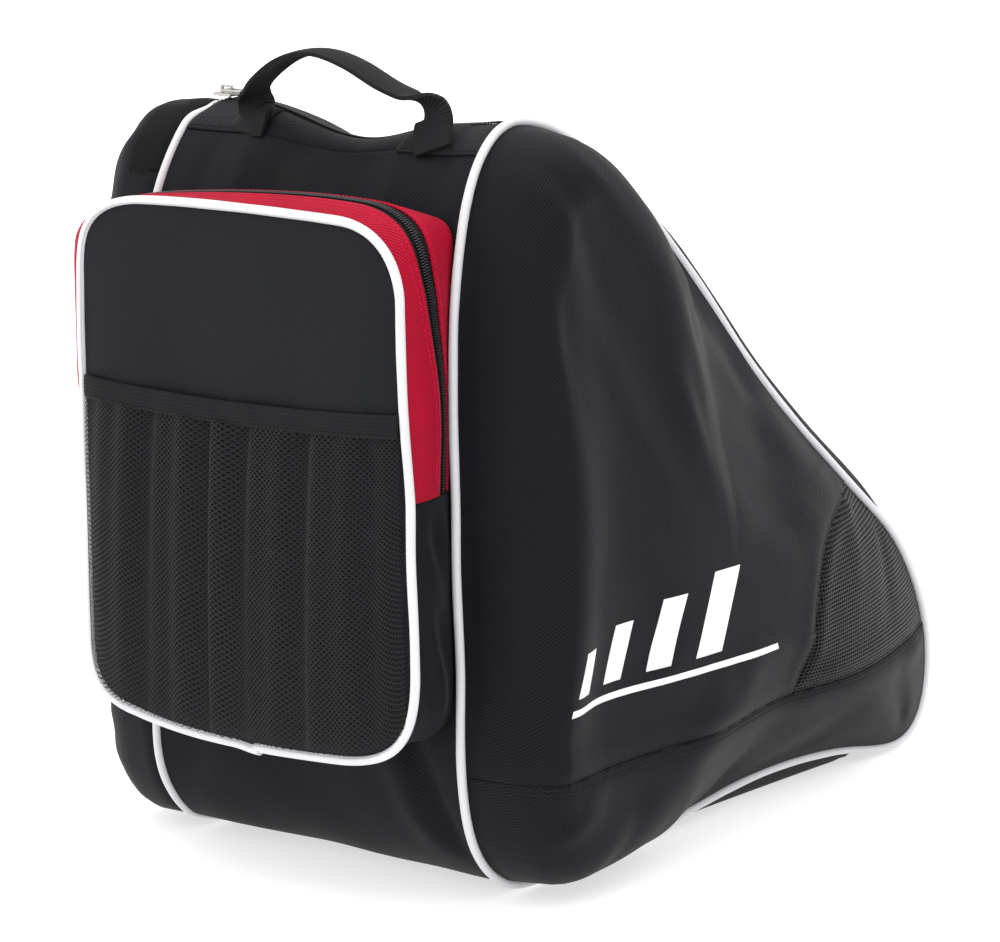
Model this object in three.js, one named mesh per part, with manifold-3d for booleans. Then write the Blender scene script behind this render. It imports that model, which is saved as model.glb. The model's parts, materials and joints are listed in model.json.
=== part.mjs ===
// A skate bag: a boot-shaped fabric bag with domed sides, a zipped lid down its slope,
// a zipped front pocket with a mesh pocket on it, and a webbing carry handle.
// Millimetres. +X across the bag, +Y from the front pocket to the toe, +Z up.
// The outline of the side is drawn with y = 0 at the front panel and z = 0 on the ground.

import * as THREE from 'three';
import { mergeVertices } from 'three/addons/utils/BufferGeometryUtils.js';
import Module from 'manifold-3d';

const wasm = await Module();
wasm.setup();

// Driving dimensions.
const HALF_WIDTH = 102; // from the middle plane to the side piping
const DEPTH = 430; // from the front panel to the toe
const CLOTH = 2; // thickness of a padded fabric panel
const GAP = 0.3; // clearance between neighbouring pieces
const PIPING_R = 2.4;
const SIDE_DOME = 50; // how far a side panel bulges past its piping
const SEAM_INSET = 3.2; // from the middle of the piping to the panels it joins
const BAND_SEAM_Z = 66; // seam between a side panel and its lower band
const VENT_TOP_Y = 314; // front edge of the vent mesh, at its top and bottom
const VENT_BOTTOM_Y = 276;
const TAPE = 4.6; // width of one half of a zip
const HINGE_Y = 379; // the lid's hinge line across the toe
const HINGE_Z = 143;
const RIDGE_Y = 17; // seam between the front panel and the top gusset
const ZIP_Y = 42.8; // middle of the main zip where it crosses the top
const POCKET_HALF = 112; // front pocket, to the middle of its piping
const POCKET_DEPTH = 43;
const POCKET_TOP = 357;
const POCKET_BOTTOM = 80;
const POCKET_R_TOP = 42;
const POCKET_R_BOTTOM = 34;
const POCKET_NARROWING = 0.135; // share of its width that the pocket loses from front to back
const FOLD_Z = 220; // the pocket opens by folding along this line
const MESH_Y = -49; // inner face of the mesh pocket
const MESH_CLOTH = 1.4;
const ELASTIC_Z = 252; // lower and upper edge of the elastic binding
const ELASTIC_TOP = 264;
const HANDLE_Y = 26; // the handle's hinge line
const HANDLE_Z = 403;
const HANDLE_HALF = 62; // from the middle to each of the handle's legs
const WEBBING = 26; // width of the handle's webbing

const COLOURS = {
  nylon: [0x1b1c1f, 0.75, 0],
  mesh: [0x101113, 0.85, 0],
  red: [0xb3122e, 0.7, 0],
  piping: [0xe9e9ea, 0.55, 0],
  webbing: [0x17181a, 0.8, 0],
  tape: [0x141518, 0.7, 0],
  metal: [0xc9c9cc, 0.25, 1],
  board: [0x2a2a2c, 0.9, 0],
};

const bag = new THREE.Group();
bag.name = 'skate_bag';
bag.position.y = -DEPTH / 2;

function addPiece(name, geometry, colour) {
  const [color, roughness, metalness] = COLOURS[colour];
  const mesh = new THREE.Mesh(geometry, new THREE.MeshStandardMaterial({ color, roughness, metalness }));
  mesh.name = name;
  bag.add(mesh);
}

// Solids.

function signedVolume(points, triangles) {
  let sum = 0;
  for (let i = 0; i < triangles.length; i += 3) {
    const [a, b, c] = [0, 1, 2].map((k) => points[triangles[i + k]]);
    sum += a.dot(new THREE.Vector3().crossVectors(b, c)) / 6;
  }
  return sum;
}

function solidFrom(points, triangles) {
  if (signedVolume(points, triangles) < 0) triangles.reverse();
  const geometry = new THREE.BufferGeometry().setFromPoints(points);
  geometry.setIndex(triangles);
  return geometry;
}

// A closed solid through a row of cross-sections, each a convex ring of points.
function loft(sections) {
  const ring = sections[0].length;
  const last = sections.length - 1;
  const triangles = [];
  for (let i = 0; i < last; i++) {
    for (let k = 0; k < ring; k++) {
      const a = i * ring + k;
      const b = i * ring + ((k + 1) % ring);
      triangles.push(a, b, b + ring, a, b + ring, a + ring);
    }
  }
  for (let k = 1; k < ring - 1; k++) {
    triangles.push(0, k + 1, k);
    triangles.push(last * ring, last * ring + k, last * ring + k + 1);
  }
  return solidFrom(sections.flat(), triangles);
}

function steps(from, to, count) {
  return Array.from({ length: count + 1 }, (_, i) => from + ((to - from) * i) / count);
}

function toManifold(geometry) {
  const bare = geometry.clone();
  bare.deleteAttribute('normal');
  bare.deleteAttribute('uv');
  const merged = mergeVertices(bare, 1e-4);
  return new wasm.Manifold(
    new wasm.Mesh({
      numProp: 3,
      vertProperties: new Float32Array(merged.attributes.position.array),
      triVerts: new Uint32Array(merged.index.array),
    }),
  );
}

function toGeometry(manifold) {
  const mesh = manifold.getMesh();
  const geometry = new THREE.BufferGeometry();
  geometry.setAttribute('position', new THREE.BufferAttribute(mesh.vertProperties, 3));
  geometry.setIndex(new THREE.BufferAttribute(mesh.triVerts, 1));
  return geometry;
}

// A prism along X from x0 to x1 whose section is given as [y, z] points.
function prism(section, x0, x1) {
  const shape = new THREE.Shape(section.map(([y, z]) => new THREE.Vector2(y, z)));
  const geometry = new THREE.ExtrudeGeometry(shape, { depth: x1 - x0, bevelEnabled: false });
  const turn = new THREE.Matrix4().makeBasis(
    new THREE.Vector3(0, 1, 0),
    new THREE.Vector3(0, 0, 1),
    new THREE.Vector3(1, 0, 0),
  );
  geometry.applyMatrix4(turn.setPosition(x0, 0, 0));
  return geometry;
}

// The side outline, from the front's foot up over the crest and down the slope to the toe's foot.

const outline = new THREE.Path();
outline.moveTo(60, 8);
outline.bezierCurveTo(25, 8, 0, 35, 0, 85);
outline.lineTo(0, 335);
outline.bezierCurveTo(0, 380, 18, 399, 50, 399);
outline.bezierCurveTo(110, 396, 175, 325, 240, 258);
outline.bezierCurveTo(285, 211, 330, 182, HINGE_Y, HINGE_Z);
outline.bezierCurveTo(405, 122, 430, 88, DEPTH, 50);
outline.bezierCurveTo(DEPTH, 22, 412, 8, 385, 8);

const around = outline.clone();
around.lineTo(60, 8);

// The place on the outline at a share t of its length, moved inwards by inset.
function onOutline(path, t, inset) {
  const point = path.getPoint(t);
  const ahead = path.getPoint(Math.min(t + 0.001, 1));
  const behind = path.getPoint(Math.max(t - 0.001, 0));
  const along = ahead.sub(behind).normalize();
  return [point.x + along.y * inset, point.y - along.x * inset];
}

// The share of the outline's length that lies nearest to a point.
function shareAt(y, z) {
  const target = new THREE.Vector2(y, z);
  const shares = steps(0, 1, 2000);
  const distances = shares.map((t) => outline.getPoint(t).distanceTo(target));
  return shares[distances.indexOf(Math.min(...distances))];
}

// A strip of cloth that follows the outline between two shares, from x0 to x1.
function strip(from, to, count, x0, x1, inset, thickness = CLOTH) {
  return loft(
    steps(from, to, count).map((t) => {
      const outer = onOutline(outline, t, inset);
      const inner = onOutline(outline, t, inset + thickness);
      return [
        new THREE.Vector3(x0, ...outer),
        new THREE.Vector3(x1, ...outer),
        new THREE.Vector3(x1, ...inner),
        new THREE.Vector3(x0, ...inner),
      ];
    }),
  );
}

const RIDGE = shareAt(RIDGE_Y, 386);
const TOP_EDGE = shareAt(ZIP_Y - TAPE - GAP, 399);
const ZIP_LINE = shareAt(ZIP_Y, 399);
const LID_EDGE = shareAt(ZIP_Y + TAPE + GAP, 399);
const HINGE = shareAt(HINGE_Y, HINGE_Z);
const SEAM_SHARE = GAP / 2 / outline.getLength();
const PANEL_HALF = HALF_WIDTH - SEAM_INSET;
const ZIP_HALF_WIDTH = PANEL_HALF - TAPE - 6; // the zip's middle, down each side of the lid

// Body panels.

const frontPanel = strip(0, RIDGE - SEAM_SHARE, 26, -PANEL_HALF, PANEL_HALF, 0);
addPiece('front_panel', frontPanel, 'nylon');

function topAndSides(from, to, halfInner, halfOuter, name, colour) {
  // A band of cloth open at the toe end: a cross piece at the top and an arm down each side.
  const end = HINGE - SEAM_SHARE;
  const whole = toManifold(strip(from, end, 30, -halfOuter, halfOuter, 0));
  const cutter = toManifold(strip(to, HINGE + 0.02, 30, -halfInner, halfInner, -1, CLOTH + 2));
  addPiece(name, toGeometry(whole.subtract(cutter)), colour);
}

topAndSides(
  RIDGE + SEAM_SHARE,
  TOP_EDGE,
  ZIP_HALF_WIDTH + TAPE + GAP,
  PANEL_HALF,
  'top_gusset',
  'nylon',
);
topAndSides(
  TOP_EDGE + 2 * SEAM_SHARE,
  ZIP_LINE - SEAM_SHARE,
  ZIP_HALF_WIDTH + GAP / 2,
  ZIP_HALF_WIDTH + TAPE,
  'main_zip_body_half',
  'tape',
);
topAndSides(
  ZIP_LINE + SEAM_SHARE,
  LID_EDGE - 2 * SEAM_SHARE,
  ZIP_HALF_WIDTH - TAPE,
  ZIP_HALF_WIDTH - GAP / 2,
  'main_zip_lid_half',
  'tape',
);
const lidHalf = ZIP_HALF_WIDTH - TAPE - GAP;
addPiece('lid_panel', strip(LID_EDGE, HINGE - SEAM_SHARE, 30, -lidHalf, lidHalf, 0), 'nylon');
addPiece('toe_gusset', strip(HINGE + SEAM_SHARE, 1, 16, -PANEL_HALF, PANEL_HALF, 0), 'nylon');

const BASE_FROM = 61;
const BASE_TO = 384;
const BASE_FLAT = 80; // half width of the part that rests on the ground
const BASE_LIFT = 6; // how far the base's edges rise to the piping

function basePanel() {
  const section = [
    [-PANEL_HALF, BASE_LIFT],
    [-BASE_FLAT, 0],
    [BASE_FLAT, 0],
    [PANEL_HALF, BASE_LIFT],
    [PANEL_HALF, BASE_LIFT + CLOTH],
    [BASE_FLAT, CLOTH],
    [-BASE_FLAT, CLOTH],
    [-PANEL_HALF, BASE_LIFT + CLOTH],
  ];
  const shape = new THREE.Shape(section.map(([x, z]) => new THREE.Vector2(x, z)));
  const geometry = new THREE.ExtrudeGeometry(shape, { depth: BASE_TO - BASE_FROM, bevelEnabled: false });
  geometry.rotateX(Math.PI / 2);
  geometry.translate(0, BASE_TO, 0);
  return geometry;
}
addPiece('base_panel', basePanel(), 'nylon');

const board = new THREE.BoxGeometry(2 * BASE_FLAT - 6, BASE_TO - BASE_FROM - 20, 3);
board.translate(0, (BASE_TO + BASE_FROM) / 2, CLOTH + GAP + 1.5);
addPiece('base_board', board, 'board');

// Side panels: a dome from the piping outwards, cut along its seams into three pieces.

const DOME_CENTRE = new THREE.Vector2(165, 150);

// How a dome rises from its rim (share 1) to its middle (share 0). The front edge turns
// outwards sharply and the slope and toe do so gently.
function domeHeight(direction, share) {
  const front = Math.max(0, -direction.x);
  const foot = Math.max(0, -direction.y);
  const sharp = Math.min(1, front + 0.5 * foot);
  return SIDE_DOME * (1 - share ** (2.2 + 3 * sharp)) ** (0.8 - 0.3 * sharp);
}

function domeShell(side) {
  const shares = steps(0, 1, 60).slice(0, -1);
  const rings = [1, 0.965, 0.9, 0.78, 0.58, 0.3];
  const skin = (thickness, rimX) => {
    const points = [];
    for (const share of rings) {
      for (const t of shares) {
        const rim = new THREE.Vector2(...onOutline(around, t, SEAM_INSET + thickness));
        const direction = rim.clone().sub(DOME_CENTRE).normalize();
        const at = rim.sub(DOME_CENTRE).multiplyScalar(share).add(DOME_CENTRE);
        const x = Math.max(rimX, HALF_WIDTH + domeHeight(direction, share) - thickness);
        points.push(new THREE.Vector3(side * x, at.x, at.y));
      }
    }
    const middle = HALF_WIDTH + SIDE_DOME - thickness;
    points.push(new THREE.Vector3(side * middle, DOME_CENTRE.x, DOME_CENTRE.y));
    return points;
  };
  const outer = skin(0, HALF_WIDTH + CLOTH / 2);
  const inner = skin(CLOTH, HALF_WIDTH - CLOTH / 2);
  const count = shares.length;
  const triangles = [];
  const quad = (a, b, c, d) => triangles.push(a, b, c, a, c, d);
  for (let k = 0; k < count; k++) {
    const next = (k + 1) % count;
    for (let i = 0; i < rings.length - 1; i++) {
      const row = i * count;
      quad(row + k, row + next, row + count + next, row + count + k);
      const low = outer.length + row;
      quad(low + k, low + count + k, low + count + next, low + next);
    }
    const row = (rings.length - 1) * count;
    triangles.push(row + k, row + next, outer.length - 1);
    triangles.push(outer.length + row + next, outer.length + row + k, 2 * outer.length - 1);
    quad(next, k, outer.length + k, outer.length + next);
  }
  return solidFrom([...outer, ...inner], triangles);
}

function addSidePanels(side, name) {
  const shell = toManifold(domeShell(side));
  const reach = side > 0 ? [80, 180] : [-180, -80];
  const band = BAND_SEAM_Z;
  const slant = (VENT_TOP_Y - VENT_BOTTOM_Y) / (186 - band);
  const ventAt = (z) => VENT_BOTTOM_Y + slant * (z - band);
  const pieces = {
    side_panel: [
      [-20, band + GAP],
      [ventAt(band + GAP) - GAP, band + GAP],
      [ventAt(420) - GAP, 420],
      [-20, 420],
    ],
    side_vent: [
      [ventAt(band + GAP), band + GAP],
      [460, band + GAP],
      [460, 420],
      [ventAt(420), 420],
    ],
    side_band: [
      [-20, -20],
      [460, -20],
      [460, band],
      [-20, band],
    ],
  };
  for (const [piece, region] of Object.entries(pieces)) {
    const cut = shell.intersect(toManifold(prism(region, ...reach)));
    addPiece(`${name}_${piece}`, toGeometry(cut), piece === 'side_vent' ? 'mesh' : 'nylon');
  }
}
addSidePanels(1, 'right');
addSidePanels(-1, 'left');

// A length of piping through points: a six-sided cord with flat ends.
function piping(points) {
  const corners = steps(0, 2 * Math.PI, 6).slice(0, -1);
  const section = corners.map((a) => new THREE.Vector2(Math.cos(a), Math.sin(a)).multiplyScalar(PIPING_R));
  return new THREE.ExtrudeGeometry(new THREE.Shape(section), {
    steps: points.length - 1,
    extrudePath: new THREE.CatmullRomCurve3(points),
    bevelEnabled: false,
  });
}

// Each side's piping is one loop whose ends meet under the base.
for (const [name, side] of [['right_piping', 1], ['left_piping', -1]]) {
  const points = steps(0.005, 0.995, 64).map((t) => {
    const at = around.getPoint(t);
    return new THREE.Vector3(side * HALF_WIDTH, at.x, at.y);
  });
  addPiece(name, piping(points), 'piping');
}

// Handle: reinforcing patches, sewn-down anchors, and one twisted length of webbing.

const PATCH_CLOTH = 1.5;
const ANCHOR_CLOTH = 1.8;
const PATCH_FROM = shareAt(RIDGE_Y + 1, 387);
const PATCH_TO = shareAt(ZIP_Y - TAPE - 2, 398.5);
for (const [name, side] of [['right', 1], ['left', -1]]) {
  const patchX = [side * (HANDLE_HALF - 16), side * PANEL_HALF].sort((a, b) => a - b);
  const patchInset = -GAP - PATCH_CLOTH;
  const patch = strip(PATCH_FROM, PATCH_TO, 6, ...patchX, patchInset, PATCH_CLOTH);
  addPiece(`${name}_handle_patch`, patch, 'nylon');
  const anchorX = [side * HANDLE_HALF - WEBBING / 2, side * HANDLE_HALF + WEBBING / 2];
  const anchorInset = patchInset - GAP - ANCHOR_CLOTH;
  const anchor = strip(PATCH_FROM + 0.001, PATCH_TO - 0.004, 4, ...anchorX, anchorInset, ANCHOR_CLOTH);
  addPiece(`${name}_handle_anchor`, anchor, 'webbing');
}

function handleWebbing() {
  const thickness = 3;
  const path = new THREE.CatmullRomCurve3(
    [
      [-HANDLE_HALF, 0],
      [-HANDLE_HALF, 6],
      [-HANDLE_HALF + 13, 17],
      [-30, 24],
      [-5, 27],
      [25, 23],
      [HANDLE_HALF - 13, 14],
      [HANDLE_HALF, 6],
      [HANDLE_HALF, 0],
    ].map(([x, rise]) => new THREE.Vector3(x, HANDLE_Y, HANDLE_Z + rise)),
  );
  const sections = steps(0, 1, 32).map((t) => {
    const centre = path.getPointAt(t);
    const along = path.getTangentAt(t);
    const fromEnd = Math.min(t, 1 - t);
    const twist = (Math.PI / 2) * THREE.MathUtils.smoothstep(fromEnd, 0.02, 0.3);
    const across = new THREE.Vector3(along.z, 0, -along.x);
    const wide = across.multiplyScalar(Math.cos(twist)).add(new THREE.Vector3(0, Math.sin(twist), 0));
    const deep = new THREE.Vector3().crossVectors(along, wide).normalize();
    const halfWide = THREE.MathUtils.lerp(WEBBING / 2, WEBBING * 0.4, twist);
    return [[1, 1], [1, -1], [-1, -1], [-1, 1]].map(([a, b]) =>
      centre.clone().addScaledVector(wide, a * halfWide).addScaledVector(deep, (b * thickness) / 2),
    );
  });
  return loft(sections);
}
addPiece('handle_webbing', handleWebbing(), 'webbing');

// Front pocket.

// The pocket's front outline, up the left side from the fold line and over to the right,
// and the same below the fold line.
const pocketTop = new THREE.Path();
pocketTop.moveTo(-POCKET_HALF, FOLD_Z);
pocketTop.lineTo(-POCKET_HALF, POCKET_TOP - POCKET_R_TOP);
const topArc = [POCKET_HALF - POCKET_R_TOP, POCKET_TOP - POCKET_R_TOP, POCKET_R_TOP];
pocketTop.absarc(-topArc[0], topArc[1], topArc[2], Math.PI, Math.PI / 2, true);
pocketTop.absarc(...topArc, Math.PI / 2, 0, true);
pocketTop.lineTo(POCKET_HALF, FOLD_Z);

const pocketFoot = new THREE.Path();
const footArc = [POCKET_HALF - POCKET_R_BOTTOM, POCKET_BOTTOM + POCKET_R_BOTTOM, POCKET_R_BOTTOM];
pocketFoot.moveTo(POCKET_HALF, FOLD_Z);
pocketFoot.lineTo(POCKET_HALF, POCKET_BOTTOM + POCKET_R_BOTTOM);
pocketFoot.absarc(...footArc, 0, -Math.PI / 2, true);
pocketFoot.absarc(-footArc[0], footArc[1], footArc[2], -Math.PI / 2, -Math.PI, true);
pocketFoot.lineTo(-POCKET_HALF, FOLD_Z);

// Points round a pocket outline, moved inwards, at the given shares of its length.
function roundPocket(path, shares, inset) {
  return shares.map((t) => onOutline(path, t, inset));
}

const TOP_SHARES = [0, 0.06, 0.12, 0.165, 0.19, 0.215, 0.24, 0.265, 0.29, 0.32, 0.41, 0.5];
const ROUND_TOP = [...TOP_SHARES, ...TOP_SHARES.slice(0, -1).reverse().map((t) => 1 - t)];
const FOOT_SHARES = [0, 0.1, 0.195, 0.22, 0.245, 0.27, 0.295, 0.32, 0.5];
const ROUND_FOOT = [...FOOT_SHARES, ...FOOT_SHARES.slice(0, -1).reverse().map((t) => 1 - t)];
const UPPER_CUT = FOLD_Z + GAP / 2;
const LOWER_CUT = FOLD_Z - GAP / 2;

function pocketPanel(path, shares, cutZ) {
  const points = roundPocket(path, shares, SEAM_INSET);
  points[0][1] = cutZ;
  points[points.length - 1][1] = cutZ;
  const shape = new THREE.Shape(points.map(([x, z]) => new THREE.Vector2(x, z)));
  const geometry = new THREE.ExtrudeGeometry(shape, { depth: CLOTH, bevelEnabled: false });
  geometry.rotateX(Math.PI / 2);
  geometry.translate(0, -POCKET_DEPTH + CLOTH / 2, 0);
  return geometry;
}
addPiece('pocket_front_upper', pocketPanel(pocketTop, ROUND_TOP, UPPER_CUT), 'nylon');
addPiece('pocket_front_lower', pocketPanel(pocketFoot, ROUND_FOOT, LOWER_CUT), 'nylon');

function pocketPiping(path, cutZ) {
  const points = roundPocket(path, steps(0, 1, 40), 0).map(
    ([x, z]) => new THREE.Vector3(x, -POCKET_DEPTH, z),
  );
  points[0].z = cutZ;
  points[points.length - 1].z = cutZ;
  return piping(points);
}
addPiece('pocket_piping_upper', pocketPiping(pocketTop, UPPER_CUT), 'piping');
addPiece('pocket_piping_lower', pocketPiping(pocketFoot, LOWER_CUT), 'piping');

// The pocket's gusset runs from its piping back to the front panel. Round the top it is red
// and split by the zip, which lies nearer the front across the top than down the sides.
const GUSSET_FRONT = -POCKET_DEPTH + SEAM_INSET;
const GUSSET_BACK = -CLOTH / 2;

function zipDepth(z) {
  return THREE.MathUtils.lerp(-11, -24, THREE.MathUtils.smoothstep(z, 268, 335));
}

// The pocket narrows from its front to the body, so that it meets the body inside the piping.
function narrowed(x, y) {
  return x * (1 - (POCKET_NARROWING * (y + POCKET_DEPTH)) / POCKET_DEPTH);
}

// A strip of the gusset round the given outline between two depths, each a function of height.
function gussetStrip(path, shares, cutZ, front, back) {
  const outer = roundPocket(path, shares, 0.6);
  const inner = roundPocket(path, shares, 0.6 + CLOTH);
  return loft(
    shares.map((t, i) => {
      const end = i === 0 || i === shares.length - 1;
      const zOuter = end ? cutZ : outer[i][1];
      const zInner = end ? cutZ : inner[i][1];
      const corner = ([x], y, z) => new THREE.Vector3(narrowed(x, y), y, z);
      return [
        corner(outer[i], front(zOuter), zOuter),
        corner(outer[i], back(zOuter), zOuter),
        corner(inner[i], back(zOuter), zInner),
        corner(inner[i], front(zOuter), zInner),
      ];
    }),
  );
}

const frontEdge = () => GUSSET_FRONT;
const backEdge = () => GUSSET_BACK;
const shifted = (by) => (z) => zipDepth(z) + by;
const zipStrips = [
  ['pocket_gusset_front', frontEdge, shifted(-TAPE - GAP), 'red'],
  ['pocket_zip_front_half', shifted(-TAPE), shifted(-GAP / 2), 'tape'],
  ['pocket_zip_rear_half', shifted(GAP / 2), shifted(TAPE), 'tape'],
  ['pocket_gusset_rear', shifted(TAPE + GAP), backEdge, 'red'],
];
for (const [name, front, back, colour] of zipStrips) {
  addPiece(name, gussetStrip(pocketTop, ROUND_TOP, UPPER_CUT, front, back), colour);
}
addPiece('pocket_gusset_lower', gussetStrip(pocketFoot, ROUND_FOOT, LOWER_CUT, frontEdge, backEdge), 'nylon');

// The mesh pocket hangs in front of the pocket, in two pieces that meet at the fold line.
function meshSheet(low, high) {
  const edge = POCKET_HALF - SEAM_INSET;
  const radius = POCKET_R_BOTTOM - SEAM_INSET;
  const corner = edge - radius;
  const foot = POCKET_BOTTOM + SEAM_INSET;
  const lowAt = (x) => {
    const past = Math.max(0, Math.abs(x) - corner);
    return Math.max(low, foot + radius - Math.sqrt(Math.max(0, radius ** 2 - past ** 2)));
  };
  const places = [-1, -0.97, -0.9, -0.82, -0.71, 0, 0.71, 0.82, 0.9, 0.97, 1];
  return loft(
    places.map((share) => {
      const x = share * edge;
      return [
        new THREE.Vector3(x, MESH_Y, lowAt(x)),
        new THREE.Vector3(x, MESH_Y, high),
        new THREE.Vector3(x, MESH_Y - MESH_CLOTH, high),
        new THREE.Vector3(x, MESH_Y - MESH_CLOTH, lowAt(x)),
      ];
    }),
  );
}
addPiece('pocket_mesh_lower', meshSheet(POCKET_BOTTOM, LOWER_CUT), 'mesh');
addPiece('pocket_mesh_upper', meshSheet(UPPER_CUT, ELASTIC_Z - GAP), 'mesh');

const elastic = new THREE.BoxGeometry(2 * (POCKET_HALF - SEAM_INSET), 2.4, ELASTIC_TOP - ELASTIC_Z);
elastic.translate(0, MESH_Y - 1, (ELASTIC_TOP + ELASTIC_Z) / 2);
addPiece('mesh_elastic', elastic, 'tape');

// Zip sliders: a plate with a bridge, and a pull whose end bar turns inside the bridge.

const PULL_HEIGHT = 3.1; // the pull's turning line above the zip

function box(sizeU, sizeV, low, high, u = 0) {
  const geometry = new THREE.BoxGeometry(sizeU, sizeV, high - low);
  geometry.translate(u, 0, (low + high) / 2);
  return toManifold(geometry);
}

function sliderBody() {
  const plate = box(12, 9, 0, 1.6);
  const bridge = box(8, 2.4, 1.4, 5.6).subtract(box(5.2, 3, 1.6, 4.6));
  return toGeometry(plate.add(bridge));
}

function sliderPull() {
  const length = 24;
  const half = 3.4;
  const outside = new THREE.Shape();
  outside.moveTo(-0.7, -half);
  outside.lineTo(length - half, -half);
  outside.absarc(length - half, 0, half, -Math.PI / 2, Math.PI / 2, false);
  outside.lineTo(-0.7, half);
  const window = new THREE.Path();
  window.moveTo(0.7, -2.1);
  window.lineTo(0.7, 2.1);
  window.lineTo(7.5, 2.1);
  window.lineTo(7.5, -2.1);
  outside.holes.push(window);
  const geometry = new THREE.ExtrudeGeometry(outside, { depth: 1.2, bevelEnabled: false, curveSegments: 6 });
  geometry.translate(0, 0, PULL_HEIGHT - 0.6);
  return geometry;
}

// Places a slider: along is the way its pull points, out is away from the bag.
function addSlider(name, place, along, out) {
  const across = new THREE.Vector3().crossVectors(out, along);
  const matrix = new THREE.Matrix4().makeBasis(along, across, out).setPosition(place);
  addPiece(`${name}_slider`, sliderBody().applyMatrix4(matrix), 'metal');
  addPiece(`${name}_pull`, sliderPull().applyMatrix4(matrix), 'metal');
}
const zipTop = outline.getPoint(ZIP_LINE).y;
addSlider(
  'main_zip',
  new THREE.Vector3(-88, ZIP_Y, zipTop + 0.5),
  new THREE.Vector3(1, 0, 0),
  new THREE.Vector3(0, 0, 1),
);
const sideZipY = zipDepth(FOLD_Z);
addSlider(
  'pocket_zip',
  new THREE.Vector3(narrowed(-POCKET_HALF, sideZipY) - 0.1, sideZipY, FOLD_Z + 10),
  new THREE.Vector3(0, 0, -1),
  new THREE.Vector3(-POCKET_DEPTH, POCKET_HALF * POCKET_NARROWING, 0).normalize(),
);

export default bag;
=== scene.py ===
"""A skate bag on a pale floor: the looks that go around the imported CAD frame.

Sizes are in millimetres in the bag's own coordinates, with y = 0 at the front panel and z = 0 on
the ground, until place() turns them into metres in the row frame.
"""

import json
import math

import bmesh
import bpy
import numpy as np
from mathutils import Matrix, Vector
from mathutils.bvhtree import BVHTree


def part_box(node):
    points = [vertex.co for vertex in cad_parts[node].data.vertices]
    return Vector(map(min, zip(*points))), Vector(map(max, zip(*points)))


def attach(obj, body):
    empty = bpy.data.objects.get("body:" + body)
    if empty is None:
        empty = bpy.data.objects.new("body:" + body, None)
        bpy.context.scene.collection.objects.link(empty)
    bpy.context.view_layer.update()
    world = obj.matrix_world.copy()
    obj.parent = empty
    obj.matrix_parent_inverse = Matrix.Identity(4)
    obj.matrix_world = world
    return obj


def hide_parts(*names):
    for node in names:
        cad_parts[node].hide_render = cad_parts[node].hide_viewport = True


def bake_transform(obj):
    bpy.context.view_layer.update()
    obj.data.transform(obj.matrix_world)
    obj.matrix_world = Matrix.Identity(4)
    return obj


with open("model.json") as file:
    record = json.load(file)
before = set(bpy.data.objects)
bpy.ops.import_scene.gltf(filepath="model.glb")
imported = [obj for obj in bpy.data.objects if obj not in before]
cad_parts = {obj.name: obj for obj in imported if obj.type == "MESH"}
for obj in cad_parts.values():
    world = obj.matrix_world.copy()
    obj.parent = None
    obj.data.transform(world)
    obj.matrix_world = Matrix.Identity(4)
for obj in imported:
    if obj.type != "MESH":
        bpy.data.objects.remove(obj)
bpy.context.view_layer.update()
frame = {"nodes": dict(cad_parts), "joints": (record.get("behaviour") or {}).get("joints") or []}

MM = 0.001


def node_box(node):
    """A CAD node's lowest and highest corner in millimetres, in the row frame."""
    low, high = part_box(node)
    return np.array(low) / MM, np.array(high) / MM


# Driving dimensions, from the frame.
FRONT = node_box("front_panel")[0][1]  # the row frame's y at the front panel
DEPTH = node_box("toe_gusset")[1][1] - FRONT
SIDE_PIPING = node_box("right_piping")
HALF = np.mean([c[0] for c in SIDE_PIPING])  # middle plane to the side piping
PIPING_R = (SIDE_PIPING[1][0] - SIDE_PIPING[0][0]) / 2
POCKET_PIPING = node_box("pocket_piping_upper")
POCKET_DEPTH = -(POCKET_PIPING[0][1] + PIPING_R - FRONT)
POCKET_HALF = POCKET_PIPING[1][0] - PIPING_R
POCKET_TOP = POCKET_PIPING[1][2] - PIPING_R
POCKET_BOTTOM = node_box("pocket_piping_lower")[0][2] + PIPING_R
FOLD_Z = node_box("pocket_front_lower")[1][2]
ELASTIC_LOW, ELASTIC_HIGH = (corner[2] for corner in node_box("mesh_elastic"))
JOINT_AT = {joint["name"]: joint.get("pos_m") for joint in frame["joints"]}
HINGE_Y = JOINT_AT["lid_fold"][1] / MM - FRONT
HINGE_Z = JOINT_AT["lid_fold"][2] / MM
HANDLE_PIVOT = JOINT_AT["handle_swing"]

# Driving dimensions of the filled cloth.
DOME = 53  # how far a side panel bulges past its piping before it is blown up
SEAM_Z = node_box("right_side_band")[1][2] + 6  # the band's seam rides up on the filled side
VENT_Y = 242  # the vent's seam, at its foot
VENT_RISE = 95  # from the vent's foot to its top
CREST_LEAN = 6  # how far the left front corner leans back
FOOT_STEP = 9  # how far the left front foot stands forward
HEEL_SINK = 5  # how far the full left heel sinks over its piping
LID_CROWN = 13.0  # how far the lid swells above the piping
TOP_SAG = 12.5  # how far the top sinks between the handle's ends
CLOTH = 1.4  # thickness of the body's cloth
INSIDE = [0, 150, 120]  # a place inside the bag


def place(points):
    """Millimetres in the bag's coordinates to metres in the row frame."""
    return (np.asarray(points, float) + [0, FRONT, 0]) * MM


def smooth(x, low, high):
    """0 below low, 1 above high and smooth between."""
    t = np.clip((np.asarray(x, float) - low) / (high - low), 0, 1)
    return t * t * (3 - 2 * t)


def bump(x, middle, width):
    """A bell of height 1 round middle."""
    return np.exp(-(((np.asarray(x, float) - middle) / width) ** 2))


def unit(vectors):
    """Vectors at length 1."""
    return vectors / np.linalg.norm(vectors, axis=-1, keepdims=True)


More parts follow.
